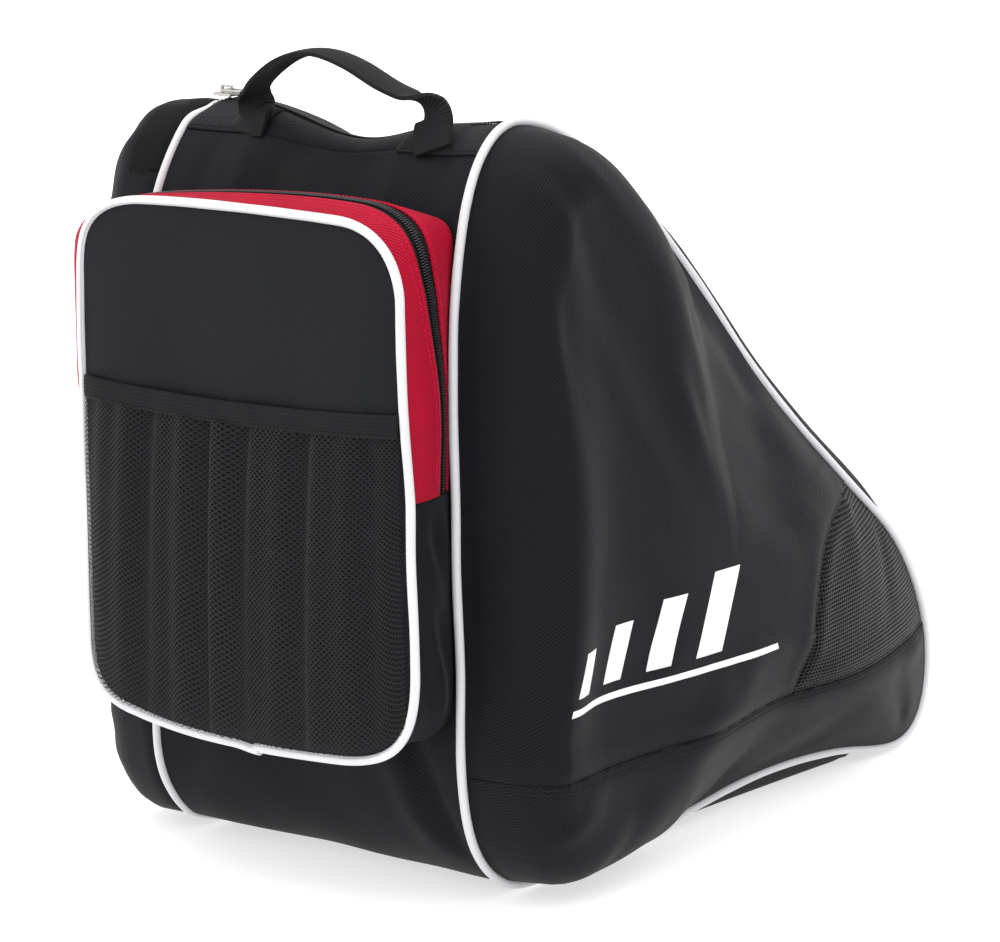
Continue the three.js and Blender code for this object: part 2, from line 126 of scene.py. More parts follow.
def distances(line):
    """How far along a polyline each of its points lies."""
    return np.concatenate([[0], np.cumsum(np.linalg.norm(np.diff(line, axis=0), axis=-1))])


def read(at, along, values):
    """Rows of values, known at the distances along, at other distances."""
    return np.stack([np.interp(at, along, column) for column in np.asarray(values).T], -1)


def pairs(rows, columns):
    """Every pair of a row's and a column's value, as a grid."""
    return np.stack(np.broadcast_arrays(rows[:, None], columns), -1)


def slump(points):
    """How a bag that stands full and unevenly differs from its pattern. Its left front corner
    leans back at the crest and stands further forward at the foot, and its left heel sinks. Its
    right front edge waves a little, and its lid's slope lies slightly further back."""
    p = np.array(points, float)
    x, y, z = p[..., 0].copy(), p[..., 1].copy(), p[..., 2].copy()
    crest = smooth(-x, 20, 95) * smooth(z, 330, 388) * (1 - smooth(y, 24, 60))
    on_gusset = 1 - smooth(-x, 104, 130)
    foot = smooth(-x, 0, 95) * (1 - smooth(z, 30, 120)) * (1 - smooth(y, 30, 90))
    groove = bump(x, -102, 7) * smooth(y, 14, 40) * (1 - smooth(y, 90, 150)) * smooth(z, 340, 380)
    right = 3.2 * smooth(z, 25, 90) - 2.5 * smooth(z, 110, 200) + 2.8 * smooth(z, 285, 350)
    right *= smooth(x, 20, 95) * (1 - smooth(y, 15, 60))
    p[..., 0] += 2.5 * crest * on_gusset + right
    p[..., 1] += CREST_LEAN * crest * on_gusset - FOOT_STEP * foot * smooth(z, 0, 12)
    p[..., 2] += -3 * crest * on_gusset - 6 * groove
    heel = smooth(-x, 104, 122) * (1 - smooth(z, 15, 60)) * (1 - smooth(y, 60, 150))
    p[..., 0] -= 3.5 * heel
    p[..., 2] = np.maximum(p[..., 2] - HEEL_SINK * heel, np.minimum(p[..., 2], 0.6))
    slope = smooth(y, 95, 160) * (1 - smooth(y, 280, 350)) * smooth(z, 100, 190)
    p[..., 1] += 0.9 * slope
    p[..., 2] += 0.9 * slope
    return p


# Curves.


class Path:
    """A 2-D curve through cubic stretches, read by the distance along it."""

    def __init__(self, start, stretches, closed=False):
        points = [np.array([start], float)]
        at = np.array(start, float)
        for stretch in stretches:
            ends = np.array([at, *stretch], float)
            if len(ends) == 2:
                ends = np.array([at, at + (ends[1] - at) / 3, ends[1] - (ends[1] - at) / 3, ends[1]])
            t = np.linspace(0, 1, 80)[1:, None]
            weights = [(1 - t) ** 3, 3 * (1 - t) ** 2 * t, 3 * (1 - t) * t**2, t**3]
            points.append(sum(w * p for w, p in zip(weights, ends)))
            at = ends[3]
        line = np.concatenate(points)
        if closed:
            line = np.concatenate([line, line[:1]])
        along = distances(line)
        keep = np.concatenate([[True], np.diff(along) > 1e-9])
        self.line, self.along, self.length, self.closed = line[keep], along[keep], along[-1], closed

    def at(self, s):
        """The points at distances s along the curve."""
        s = np.mod(s, self.length) if self.closed else np.clip(s, 0, self.length)
        return read(s, self.along, self.line)

    def out(self, s):
        """The unit normals at distances s, pointing left of the way along."""
        step = self.at(np.asarray(s) + 1.5) - self.at(np.asarray(s) - 1.5)
        step = step / np.maximum(np.linalg.norm(step, axis=-1, keepdims=True), 1e-9)
        return np.stack([-step[..., 1], step[..., 0]], -1)

    def near(self, point):
        """The distance along the curve that lies nearest to a point."""
        return self.along[np.linalg.norm(self.line - np.array(point, float), axis=1).argmin()]


# The side outline in (y, z): up the front, over the crest, down the slope and round the toe. Under
# the toe it lifts off the ground.
FRONT_TO_HINGE = [
    [(25, 3), (3, 34), (0, 85)],
    [(-3, 300)],
    [(-3, 352), (4, 399), (46, 399.5)],
    [(105, 397), (172, 328), (240, 258)],
    [(285, 211), (330, 182), (HINGE_Y, HINGE_Z)],
]
HINGE_TO_FOOT = [
    [(405, 122), (430, 88), (DEPTH, 48)],
    [(DEPTH, 20), (418, 5), (396, 5)],
    [(376, 5), (356, 12), (330, 14)],
    [(290, 18), (250, 17), (215, 12)],
    [(175, 7), (135, 3), (100, 3)],
]
START = (60, 3)
outline = Path(START, FRONT_TO_HINGE + HINGE_TO_FOOT, closed=True)
S_RIDGE = outline.near((15, 389))
S_ZIP = outline.near((44, 399.5))
S_HINGE = outline.near((HINGE_Y, HINGE_Z))
S_TOE_FOOT = outline.near((396, 5))

# Meshes.


def linked(name, data):
    """An object in the scene."""
    obj = bpy.data.objects.new(name, data)
    bpy.context.scene.collection.objects.link(obj)
    return obj


def new_object(name, points, faces, uvs=None):
    """A mesh object from points in millimetres. uvs has one pair for each point, in millimetres."""
    mesh = bpy.data.meshes.new(name)
    points = place(slump(points))
    mesh.from_pydata(points.tolist(), [], [list(map(int, f)) for f in faces])
    if uvs is not None:
        corner_points = np.zeros(len(mesh.loops), np.int32)
        mesh.loops.foreach_get("vertex_index", corner_points)
        layer = mesh.uv_layers.new(name="cloth")
        layer.data.foreach_set("uv", np.asarray(uvs, np.float32)[corner_points].ravel())
    mesh.update()
    mesh.polygons.foreach_set("use_smooth", [True] * len(mesh.polygons))
    return linked(name, mesh)


def grid_faces(rows, columns, wrap=False):
    """Quads of a grid whose points run along its columns first."""
    i, k = np.meshgrid(np.arange(rows - 1), np.arange(columns if wrap else columns - 1), indexing="ij")
    a = (i * columns + k).ravel()
    b = (i * columns + (k + 1) % columns).ravel()
    return np.stack([a, b, b + columns, a + columns], -1)


def disc(rings):
    """The points and faces of a grid of rings that closes at its middle."""
    rows, columns = rings.shape[:2]
    points = np.concatenate([rings[:-1].reshape(-1, rings.shape[-1]), rings[-1:, 0]])
    faces = grid_faces(rows - 1, columns, wrap=True).tolist()
    last = (rows - 2) * columns
    faces += [[last + k, last + (k + 1) % columns, len(points) - 1] for k in range(columns)]
    return points, faces


def grid_object(name, points, uvs):
    """A sheet from a grid of points, rows by columns by 3."""
    rows, columns = points.shape[:2]
    return new_object(name, points.reshape(-1, 3), grid_faces(rows, columns), uvs.reshape(-1, 2))


def apply_modifiers(obj):
    """Turns the object's modifiers into its mesh."""
    graph = bpy.context.evaluated_depsgraph_get()
    shown = obj.evaluated_get(graph)
    mesh = bpy.data.meshes.new_from_object(shown, preserve_all_data_layers=True, depsgraph=graph)
    obj.modifiers.clear()
    obj.data = mesh
    return obj


def edited(obj, change):
    """Changes an object's mesh as a bmesh."""
    bm = bmesh.new()
    bm.from_mesh(obj.data)
    change(bm)
    bm.to_mesh(obj.data)
    bm.free()
    return obj


def everything(bm):
    """All of a mesh, as bisecting wants it."""
    return bm.verts[:] + bm.edges[:] + bm.faces[:]


def face_outwards(obj):
    """Turns a closed mesh's faces outwards."""
    return edited(obj, lambda bm: bmesh.ops.recalc_face_normals(bm, faces=bm.faces))


def soften(obj, width, segments):
    """Rounds an object's edges."""
    bevel = obj.modifiers.new("soft_edges", "BEVEL")
    bevel.width = width * MM
    bevel.segments = segments
    bevel.limit_method = "ANGLE"
    return apply_modifiers(obj)


def thicken(obj, thickness, away_from):
    """Gives a sheet a thickness, away from the side that a point in millimetres lies on."""
    inside = Vector(place(away_from))
    votes = sum((p.center - inside).dot(p.normal) * p.area for p in obj.data.polygons)
    if votes < 0:
        obj.data.flip_normals()
    modifier = obj.modifiers.new("thickness", "SOLIDIFY")
    modifier.thickness = thickness * MM
    modifier.offset = -1
    return apply_modifiers(obj)


def tube(name, line, radius, sides=12, wobble=0.0):
    """A closed-ended tube along points in millimetres, with its length and girth as uvs."""
    line = np.asarray(line, float)
    step = unit(np.gradient(line, axis=0))
    normals = [unit(np.cross(step[0], [0.3, 0.5, 0.8]))]
    for t in step[1:]:
        normals.append(unit(normals[-1] - t * normals[-1].dot(t)))
    normals = np.array(normals)
    binormals = np.cross(step, normals)
    along = distances(line)
    radii = radius * (1 + wobble * np.sin(along / 9.0) * np.sin(along / 23.0 + 1))
    angle = np.linspace(0, 2 * math.pi, sides, endpoint=False)
    ring = (
        line[:, None]
        + normals[:, None] * (np.cos(angle)[None, :, None] * radii[:, None, None])
        + binormals[:, None] * (np.sin(angle)[None, :, None] * radii[:, None, None])
    )
    count = len(line)
    faces = grid_faces(count, sides, wrap=True).tolist()
    faces.append(list(range(sides))[::-1])
    faces.append([(count - 1) * sides + k for k in range(sides)])
    uvs = pairs(along, angle * radius)
    return face_outwards(new_object(name, ring.reshape(-1, 3), faces, uvs.reshape(-1, 2)))


def resampled(line, step):
    """A 3-D polyline again, with points a step apart."""
    along = distances(line)
    at = np.linspace(0, along[-1], max(2, round(along[-1] / step) + 1))
    return read(at, along, line)


# A small rounded bar with 6 sides, used for stitches and zip teeth.
LOZENGE_T = np.array([-1, -0.75, 0, 0.75, 1])
LOZENGE_R = np.array([0.15, 0.8, 1, 0.8, 0.15])


def lozenges(name, centres, alongs, ups, half_length, half_width, half_height):
    """One mesh of many small rounded bars."""
    sides = 6
    angle = np.linspace(0, 2 * math.pi, sides, endpoint=False)
    centres, alongs, ups = (np.asarray(a, float) for a in (centres, alongs, ups))
    alongs = unit(alongs)
    across = unit(np.cross(ups, alongs))
    ups = np.cross(alongs, across)
    t = LOZENGE_T[None, :, None, None] * half_length
    c = (LOZENGE_R[:, None] * np.cos(angle))[None, :, :, None] * half_width
    s = (LOZENGE_R[:, None] * np.sin(angle))[None, :, :, None] * half_height
    body = (
        centres[:, None, None]
        + alongs[:, None, None] * t
        + across[:, None, None] * c
        + ups[:, None, None] * s
    )
    per = len(LOZENGE_T) * sides
    one = grid_faces(len(LOZENGE_T), sides, wrap=True).tolist()
    one += [list(range(sides))[::-1], [per - sides + k for k in range(sides)]]
    faces = [[v + i * per for v in f] for i in range(len(centres)) for f in one]
    return face_outwards(new_object(name, body.reshape(-1, 3), faces))


def stitches(name, line, ups, pitch=3.2, thread=0.32):
    """A row of stitches along a line, each sunk halfway into the cloth."""
    points = resampled(line, pitch)
    middle = (points[1:] + points[:-1]) / 2
    ahead = points[1:] - points[:-1]
    if np.ndim(ups) == 1:
        up = np.broadcast_to(ups, middle.shape)
    else:
        up = read(np.linspace(0, 1, len(middle)), np.linspace(0, 1, len(ups)), ups)
    return lozenges(name, middle + up * 0.05, ahead, up, pitch * 0.4, thread, thread * 0.8)


def paint(obj, material):
    obj.data.materials.clear()
    obj.data.materials.append(material)


def finish_piece(obj, material, body, slot, *nodes, blend=None, thick=0, inner=INSIDE):
    """Thickens a sheet away from inner and paints it, rides or blends it, and hides the CAD nodes that it
    stands for. The slot is not used."""
    if thick:
        thicken(obj, thick, inner)
    paint(obj, material)
    if blend:
        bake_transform(obj)
    else:
        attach(obj, body)
    if nodes:
        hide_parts(*nodes)


# Materials.


class Nodes:
    """Builds a node material with short calls."""

    def __init__(self, name):
        self.material = bpy.data.materials.new(name)
        self.material.use_nodes = True
        self.tree = self.material.node_tree
        self.shader = self.tree.nodes["Principled BSDF"]

    def add(self, kind, inputs=None, **settings):
        node = self.tree.nodes.new(kind)
        for key, value in settings.items():
            setattr(node, key, value)
        for key, value in (inputs or {}).items():
            self.set(node.inputs[key], value)
        return node

    def set(self, socket, value):
        if isinstance(value, bpy.types.NodeSocket):
            self.tree.links.new(value, socket)
        else:
            socket.default_value = value

    def shade(self, inputs):
        """Sets the shader's inputs."""
        for key, value in inputs.items():
            self.set(self.shader.inputs[key], value)

    def math(self, operation, *values):
        node = self.tree.nodes.new("ShaderNodeMath")
        node.operation = operation
        for socket, value in zip(node.inputs, values):
            self.set(socket, value)
        return node.outputs[0]

    def cloth(self):
        """The piece's own cloth coordinates, in millimetres."""
        uv = self.add("ShaderNodeUVMap", uv_map="cloth")
        parts = self.add("ShaderNodeSeparateXYZ", {0: uv.outputs[0]})
        return parts.outputs[0], parts.outputs[1]

    def wave(self, coordinate, pitch, phase=0.0):
        """A sine from 0 to 1 with that pitch along a coordinate."""
        angle = self.math("MULTIPLY_ADD", coordinate, 2 * math.pi / pitch, phase)
        return self.math("MULTIPLY_ADD", self.math("SINE", angle), 0.5, 0.5)

    def turned(self, u, v, degrees):
        """The coordinate along a direction at that angle to u."""
        angle = math.radians(degrees)
        part = self.math("MULTIPLY", u, math.cos(angle))
        return self.math("MULTIPLY_ADD", v, math.sin(angle), part)

    def noise(self, scale, detail=2.0, roughness=0.5):
        """Noise over the object's space; scale is in lumps a metre."""
        space = self.add("ShaderNodeTexCoord").outputs["Object"]
        settings = {"Vector": space, "Scale": scale, "Detail": detail, "Roughness": roughness}
        return self.add("ShaderNodeTexNoise", settings).outputs[0]

    def between(self, share, low, high):
        return self.add("ShaderNodeMapRange", {0: share, 3: low, 4: high}).outputs[0]

    def colours(self, share, low, high):
        ramp = self.add("ShaderNodeMix", {0: share, 6: (*low, 1), 7: (*high, 1)}, data_type="RGBA")
        return ramp.outputs[2]

    def relief(self, height, distance, strength=1.0, below=None):
        inputs = {"Height": height, "Distance": distance * MM, "Strength": strength}
        if below is not None:
            inputs["Normal"] = below
        return self.add("ShaderNodeBump", inputs).outputs[0]


def scaled(colour, factor):
    return tuple(min(1.0, c * factor) for c in colour)


def woven(
    name, colour, height, pitch, rough=(0.5, 0.7), depth=0.16, sheen=0.03, yarn_highlight_range=(0.25, 2.9),
    gloss=0.1,
):
    """A cloth whose yarns stand up as height(nodes, u, v, pitch) says, worn and mottled a little. Its
    base colour is lighter on the yarns' tops: a painted highlight of the glossy yarns, over a random
    mottle.
    """
    n = Nodes(name)
    u, v = n.cloth()
    yarns = height(n, u, v, pitch)
    fuzz = n.noise(2600.0, 3.0, 0.6)
    mottle = n.noise(38.0, 4.0, 0.6)
    # The base colour's tone: random mottle and fuzz, plus the yarns' tops painted lighter as a painted
    # highlight.
    tone_and_yarn_highlight = n.math("MULTIPLY_ADD", mottle, 0.3, n.math("MULTIPLY", yarns, 0.8))
    tone_and_yarn_highlight = n.math("MULTIPLY_ADD", fuzz, 0.2, n.math("SUBTRACT", tone_and_yarn_highlight, 0.15))
    worn = n.math("MULTIPLY_ADD", fuzz, 0.4, n.math("MULTIPLY", mottle, 0.6))
    n.shade({
        "Base Color": n.colours(tone_and_yarn_highlight, *(scaled(colour, factor) for factor in yarn_highlight_range)),
        "Roughness": n.between(worn, *rough),
        "Normal": n.relief(yarns, depth, 0.9, n.relief(mottle, 1.2, 0.35)),
        "Sheen Weight": sheen,
        "Sheen Roughness": 0.45,
        "Specular IOR Level": gloss,
    })
    return n.material


def twill(n, u, v, pitch, degrees=52):
    """Diagonal ribs, each broken into short yarns."""
    across = n.turned(u, v, degrees)
    along = n.turned(u, v, degrees + 90)
    rib = n.wave(across, pitch)
    beat = n.wave(n.math("MULTIPLY_ADD", across, 0.55, along), pitch * 1.15)
    return n.math("MULTIPLY", rib, n.between(beat, 0.55, 1.0))


def back_twill(n, u, v, pitch):
    return twill(n, u, v, pitch, -52)


def crosshatch(n, u, v, pitch):
    """Ribs both ways, as a basket weave set on the diagonal."""
    one = n.wave(n.turned(u, v, 48), pitch)
    other = n.wave(n.turned(u, v, -42), pitch * 1.1)
    return n.math("MAXIMUM", n.math("MULTIPLY", one, 0.85), other)


def ribs_across(n, u, v, pitch):
    """Webbing: ribs across its width with the warp showing between."""
    rib = n.wave(u, pitch)
    warp = n.wave(v, pitch * 0.9)
    return n.math("MULTIPLY_ADD", rib, 0.7, n.math("MULTIPLY", warp, 0.3))


def slanted(n, u, v, pitch):
    """Piping: fine ribs that wind round the cord."""
    rib = n.wave(n.turned(u, v, 35), pitch)
    beat = n.wave(n.turned(u, v, -60), pitch)
    return n.math("MULTIPLY_ADD", rib, 0.75, n.math("MULTIPLY", beat, 0.25))


BLACK = (0.0037, 0.004, 0.0055)
nylon = woven("nylon", BLACK, back_twill, 1.6)
front_nylon = woven("front_nylon", BLACK, twill, 1.6)
pocket_nylon = woven("pocket_nylon", BLACK, crosshatch, 1.5)
red_nylon = woven("red_nylon", (0.40, 0.001, 0.022), twill, 1.4, depth=0.14, yarn_highlight_range=(0.4, 1.4))
white_piping = woven("piping", (0.66, 0.66, 0.68), slanted, 1.0, (0.45, 0.6), 0.1, 0.1, (0.8, 1.12), 0.3)
webbing = woven("webbing", (0.006, 0.006, 0.007), ribs_across, 1.25, (0.6, 0.8), 0.2)
tape = woven("zip_tape", (0.005, 0.005, 0.006), back_twill, 0.9, (0.6, 0.8), 0.1)
elastic_cloth = woven("elastic", (0.006, 0.006, 0.007), ribs_across, 0.8, (0.6, 0.8), 0.12)
netting = woven("netting", (0.0055, 0.0055, 0.0062), ribs_across, 0.7, (0.4, 0.6), 0.08, 0.1)
lining = woven("lining", (0.003, 0.003, 0.0035), twill, 0.8, (0.7, 0.9), 0.08)
thread = woven("thread", (0.009, 0.009, 0.010), ribs_across, 0.6, (0.4, 0.6), 0.05)
red_thread = woven("red_thread", (0.42, 0.004, 0.03), ribs_across, 0.6, (0.5, 0.7), 0.05)
patch_nylon = woven("patch_nylon", (0.0085, 0.009, 0.0102), twill, 1.2, (0.55, 0.75))


def hard(name, colour, rough, metallic, grain, grain_depth):
    """Metal or plastic with fine grain and faint smears."""
    n = Nodes(name)
    fine = n.noise(grain, 4.0, 0.6)
    smear = n.noise(120.0, 3.0, 0.6)
    n.shade({
        "Base Color": n.colours(smear, scaled(colour, 0.8), scaled(colour, 1.1)),
        "Roughness": n.between(n.math("MULTIPLY_ADD", fine, 0.4, smear), *rough),
        "Normal": n.relief(fine, grain_depth, 0.5),
        "Metallic": metallic,
    })
    return n.material


nickel = hard("nickel", (0.46, 0.44, 0.41), (0.12, 0.32), 1.0, 1500.0, 0.05)
coil_plastic = hard("coil", (0.006, 0.006, 0.007), (0.25, 0.45), 0.0, 2500.0, 0.02)
board_plastic = hard("board", (0.03, 0.03, 0.032), (0.6, 0.85), 0.0, 900.0, 0.1)
print_ink = hard("print", (0.86, 0.86, 0.87), (0.35, 0.55), 0.0, 3000.0, 0.03)


# Side panels.

CENTRE = np.array([165.0, 150.0])  # a side's middle, in (y, z)
RIM_COUNT = 264  # points round each ring
RADII = np.concatenate([np.linspace(1, 0.86, 9)[:-1], np.linspace(0.86, 0.0, 26)])  # rim to middle
EDGE_INSET = 1.4  # from the outline in to the panel's rim, under the piping


def dome_height(direction, share, y):
    """How far the panel stands out: sharply behind its front edge and along the middle of its
    foot, gently along its slope and toe."""
    front = smooth(-direction[..., 0], 0.03, 0.52) * (1 - 0.7 * smooth(-direction[..., 1], 0.72, 0.95))
    foot = smooth(-direction[..., 1], 0.1, 0.9) * (0.12 + 0.5 * bump(y, 120, 75))
    power = 2.1 + 15 * front + 3.3 * foot
    return DOME * (1 - share**power) ** (1.0 - 0.5 * np.maximum(front, foot))


def dome_grid():
    """Rows of points from the rim to the middle, as (x past the piping, y, z)."""
    s = np.linspace(0, outline.length, RIM_COUNT, endpoint=False)
    rim = outline.at(s) - outline.out(s) * EDGE_INSET
    arm = rim - CENTRE
    share = RADII[:, None, None]
    flat = CENTRE + arm[None] * share
    rise = dome_height(unit(arm)[None], share[..., 0], flat[..., 0])
    rise = sum(np.roll(rise, k, 1) for k in range(-7, 8)) / 15
    return np.concatenate([rise[..., None], flat], -1)


# Soft creases of a filled side, each as the (y, z) of its ends, its half width and its depth.
CREASES = [
    ((22, 385), (92, 262), 9, -2.4),
    ((40, 390), (125, 300), 8, 1.8),
    ((12, 362), (48, 215), 8, -2.0),
    ((70, 388), (165, 318), 8, -1.6),
    ((215, 280), (250, 205), 12, -1.6),
    ((330, 178), (296, 110), 10, 1.5),
    ((128, 318), (330, 150), 13, 3.2),
    ((150, 300), (318, 128), 12, -1.2),
    ((372, 145), (345, 80), 9, -1.8),
    ((395, 20), (352, 58), 9, -3.0),
    ((418, 60), (372, 66), 8, 1.8),
    ((60, 12), (96, 52), 10, -2.4),
    ((20, 40), (62, 74), 9, 2.0),
    ((118, 8), (150, 48), 11, 2.0),
    ((205, 14), (228, 52), 10, -2.6),
    ((250, 20), (330, 40), 10, -2.8),
]


def crease_depth(y, z):
    """The creases' rise at places on a side."""
    total = np.zeros(np.shape(y))
    for (y0, z0), (y1, z1), width, depth in CREASES:
        ahead = np.array([y1 - y0, z1 - z0], float)
        length = np.linalg.norm(ahead)
        ahead /= length
        along = (y - y0) * ahead[0] + (z - z0) * ahead[1]
        off = (y - y0) * -ahead[1] + (z - z0) * ahead[0] + 3 * np.sin(along / length * 4)
        fade = smooth(along, -12, 12) * (1 - smooth(along, length * 0.45, length * 1.1))
        spread = width * (0.7 + 0.8 * np.clip(along / length, 0, 1))
        total += depth * fade * np.exp(-((off / spread) ** 2))
    return total


CLOTH_SETTINGS = {
    "quality": 6,
    "mass": 0.3,
    "tension_stiffness": 18,
    "compression_stiffness": 12,
    "shear_stiffness": 5,
    "bending_stiffness": 4,
    "vertex_group_mass": "rim",
    "shrink_min": -0.006,
    "use_pressure": True,
    "uniform_pressure_force": 1.2,
}
STEPS = 16  # frames that the cloth is given to settle
MOST_CHANGE = 6.0  # the furthest that the simulation may move the cloth


def blow_up(grid):
    """Cloth under pressure, held at its rim: adds what a filled panel's slack cloth does."""
    rows, columns = grid.shape[:2]
    points, faces = disc(grid)
    obj = new_object("blown", points, faces)
    rim = obj.vertex_groups.new(name="rim")
    rim.add(list(range(columns)), 1.0, "REPLACE")
    settings = obj.modifiers.new("cloth", "CLOTH")
    cloth = settings.settings
    for key, value in CLOTH_SETTINGS.items():
        setattr(cloth, key, value)
    cloth.effector_weights.gravity = 0
    settings.collision_settings.use_collision = False
    scene = bpy.context.scene
    for number in range(1, STEPS + 1):
        scene.frame_set(number)
    moved = apply_modifiers(obj).data
    new = np.zeros(len(moved.vertices) * 3)
    moved.vertices.foreach_get("co", new)
    new = new.reshape(-1, 3) / MM - [0, FRONT, 0]
    bpy.data.objects.remove(obj)
    scene.frame_set(1)
    change = new - points
    size = np.linalg.norm(change, axis=1, keepdims=True)
    change *= np.minimum(1, MOST_CHANGE / np.maximum(size, 1e-6))
    share = smooth(RADII[:-1], 0.15, 0.5)[:, None, None]
    rings = change[:-1].reshape(rows - 1, columns, 3) * share
    rings *= 1 - smooth(grid[:-1, :, 1:2], 225, 265)
    for _ in range(3):  # the simulation's soft folds, without its smallest wrinkles
        rings = sum(np.roll(rings, k, 1) for k in (-2, -1, 0, 1, 2)) / 5
        rings[1:-1] = (rings[:-2] + 2 * rings[1:-1] + rings[2:]) / 4
    return grid + np.concatenate([rings, np.zeros((1, columns, 3))])


side_grid = dome_grid()
side_grid = blow_up(side_grid)


def catmull_rom(a, b, c, d, t):
    """A smooth curve's value at share t of the way from b to c."""
    return b + 0.5 * t * (c - a + t * (2 * a - 5 * b + 4 * c - d + t * (3 * (b - c) + d - a)))


def finer(grid, times):
    """A ring grid with more points, by smooth interpolation along rows and round columns."""
    rows, columns = grid.shape[:2]
    wrapped = np.concatenate([grid[:, -1:], grid, grid[:, :2]], 1)

    def cubic(values, at, axis):
        base = np.floor(at).astype(int)
        t = (at - base).reshape([-1 if k == axis else 1 for k in range(3)])
        size = values.shape[axis]
        p = [np.take(values, np.clip(base + k, 0, size - 1), axis) for k in (-1, 0, 1, 2)]
        return catmull_rom(*p, t)

    around = cubic(wrapped, 1 + np.arange(columns * times) / times, 1)
    return cubic(around, np.arange((rows - 1) * times + 1) / times, 0)


def shoulder_uvs(grid):
    """Cloth coordinates: each point at its distance over the cloth from the middle."""
    step = np.linalg.norm(np.diff(grid, axis=0), axis=-1)
    arm = np.concatenate([np.cumsum(step[::-1], 0)[::-1], np.zeros((1, grid.shape[1]))])
    return unit(grid[0, :, 1:] - CENTRE)[None] * arm[..., None] + CENTRE


def cut(obj, point, normal):
    """Keeps the part of a mesh on the side of a plane that its normal points away from."""

    def change(bm):
        where = Vector(place(point))
        geom = everything(bm)
        bmesh.ops.bisect_plane(bm, geom=geom, plane_co=where, plane_no=normal, clear_outer=True)

    edited(obj, change)


def vent_at(z):
    """The vent's seam: upright at its foot, and turned back by the slope at its top."""
    t = np.clip((z - SEAM_Z) / VENT_RISE, 0, 1.2)
    return VENT_Y + 20 * t**2 + 60 * t**9


def cut_at_vent(obj, front):
    """Keeps the part of a side in front of the vent's seam, or behind it."""
    heights = SEAM_Z + np.concatenate([[0], np.linspace(0.3, 1.15, 12)]) * VENT_RISE

    def change(bm):
        for z in heights:
            level = Vector((0, 0, z * MM))
            bmesh.ops.bisect_plane(bm, geom=everything(bm), plane_co=level, plane_no=(0, 0, 1))
        for low, high in zip(heights[:-1], heights[1:]):
            faces = [f for f in bm.faces if low * MM < f.calc_center_median().z < high * MM]
            edges = {e for f in faces for e in f.edges}
            geom = faces + list(edges) + list({v for f in faces for v in f.verts})
            lean = (vent_at(high) - vent_at(low)) / (high - low)
            normal = Vector((0, 1, -lean)) * (1 if front else -1)
            where = Vector(place([0, vent_at(low), low]))
            bmesh.ops.bisect_plane(bm, geom=geom, plane_co=where, plane_no=normal, clear_outer=True)
        if not front:
            below = [f for f in bm.faces if f.calc_center_median().z < SEAM_Z * MM]
            bmesh.ops.delete(bm, geom=below, context="FACES")

    edited(obj, change)


fine_grid = finer(side_grid, 2)
fine_grid[..., 0] += crease_depth(fine_grid[..., 1], fine_grid[..., 2]) * smooth(fine_grid[..., 0], 0, 14)
fine_uvs = shoulder_uvs(fine_grid)


def seam_distance(y, z):
    """The distance to the nearest seam on a side."""
    band = np.abs(z - SEAM_Z)
    lean = (vent_at(z + 1) - vent_at(z - 1)) / 2
    vent = np.where(z > SEAM_Z - 1, np.abs(y - vent_at(z)) / np.hypot(1, lean), 99)
    return np.minimum(band, vent)


# The cloth dips at a seam and puffs up beside it.
near_seam = seam_distance(fine_grid[..., 1], fine_grid[..., 2])
inside_rim = smooth(fine_grid[..., 0], 0, 10)
fine_grid[..., 0] += (0.9 * bump(near_seam, 9, 6) - 1.5 * bump(near_seam, 0, 3.2)) * inside_rim


def side_points(side):
    """The points and faces of one whole side, the right one for side = 1."""
    points = fine_grid.copy()
    points[..., 0] = side * (points[..., 0] + HALF + 0.4)
    return disc(points)


def side_sheet(name, side):
    """One whole side as an object."""
    return new_object(name, *side_points(side), disc(fine_uvs)[0])


def lattice(name, to_surface, width, height, pitch_u, pitch_v, strand, diamond, keep=None):
    """A net: a frame round each hole, laid on a surface. to_surface takes flat coordinates."""
    if diamond:
        columns, rows = int(width / pitch_u), int(2 * height / pitch_v) - 1
        i, j = np.meshgrid(np.arange(columns), np.arange(rows))
        i, j = i.ravel(), j.ravel()
        centre = np.stack([(i + 0.5 + 0.5 * (j % 2)) * pitch_u, (j + 1) * pitch_v / 2], -1)
        centre = centre[centre[:, 0] < width - pitch_u * 0.4]
        corners = np.array([[-0.5, 0], [0, -0.5], [0.5, 0], [0, 0.5]])
    else:
        columns, rows = int(width / pitch_u), int(height / pitch_v)
        i, j = np.meshgrid(np.arange(columns), np.arange(rows))
        centre = np.stack([(i.ravel() + 0.5) * pitch_u, (j.ravel() + 0.5) * pitch_v], -1)
        corners = np.array([[-0.5, -0.5], [0.5, -0.5], [0.5, 0.5], [-0.5, 0.5]])
    if keep is not None:
        centre = centre[keep(centre)]
    pitch = np.array([pitch_u, pitch_v])
    outer = centre[:, None] + corners * pitch
    inner = centre[:, None] + corners * (pitch - strand)
    points = np.concatenate([outer, inner], 1).reshape(-1, 2)
    keys = np.round(points / 0.05).astype(np.int64)
    _, first, index = np.unique(keys, axis=0, return_index=True, return_inverse=True)
    index = index.reshape(-1, 8)
    turns = [(k, (k + 1) % 4) for k in range(4)]
    faces = np.concatenate([index[:, [k, m, 4 + m, 4 + k]] for k, m in turns])
    flat = points[first]
    return new_object(name, to_surface(flat), faces, flat)


def surface_at(tree, side, yz, lift):
    """Places at (y, z) on a side's sheet, moved outwards a little."""
    found = []
    for y, z in yz:
        start = Vector(place([side * 400, y, z]))
        hit, normal, _, _ = tree.ray_cast(start, Vector((-side, 0, 0)))
        if hit is None:
            hit, normal, _, _ = tree.find_nearest(Vector(place([side * (HALF + 2), y, z])))
        if normal.x * side < 0:
            normal = -normal
        found.append(hit + normal * lift * MM)
    return np.array(found) / MM - [0, FRONT, 0]


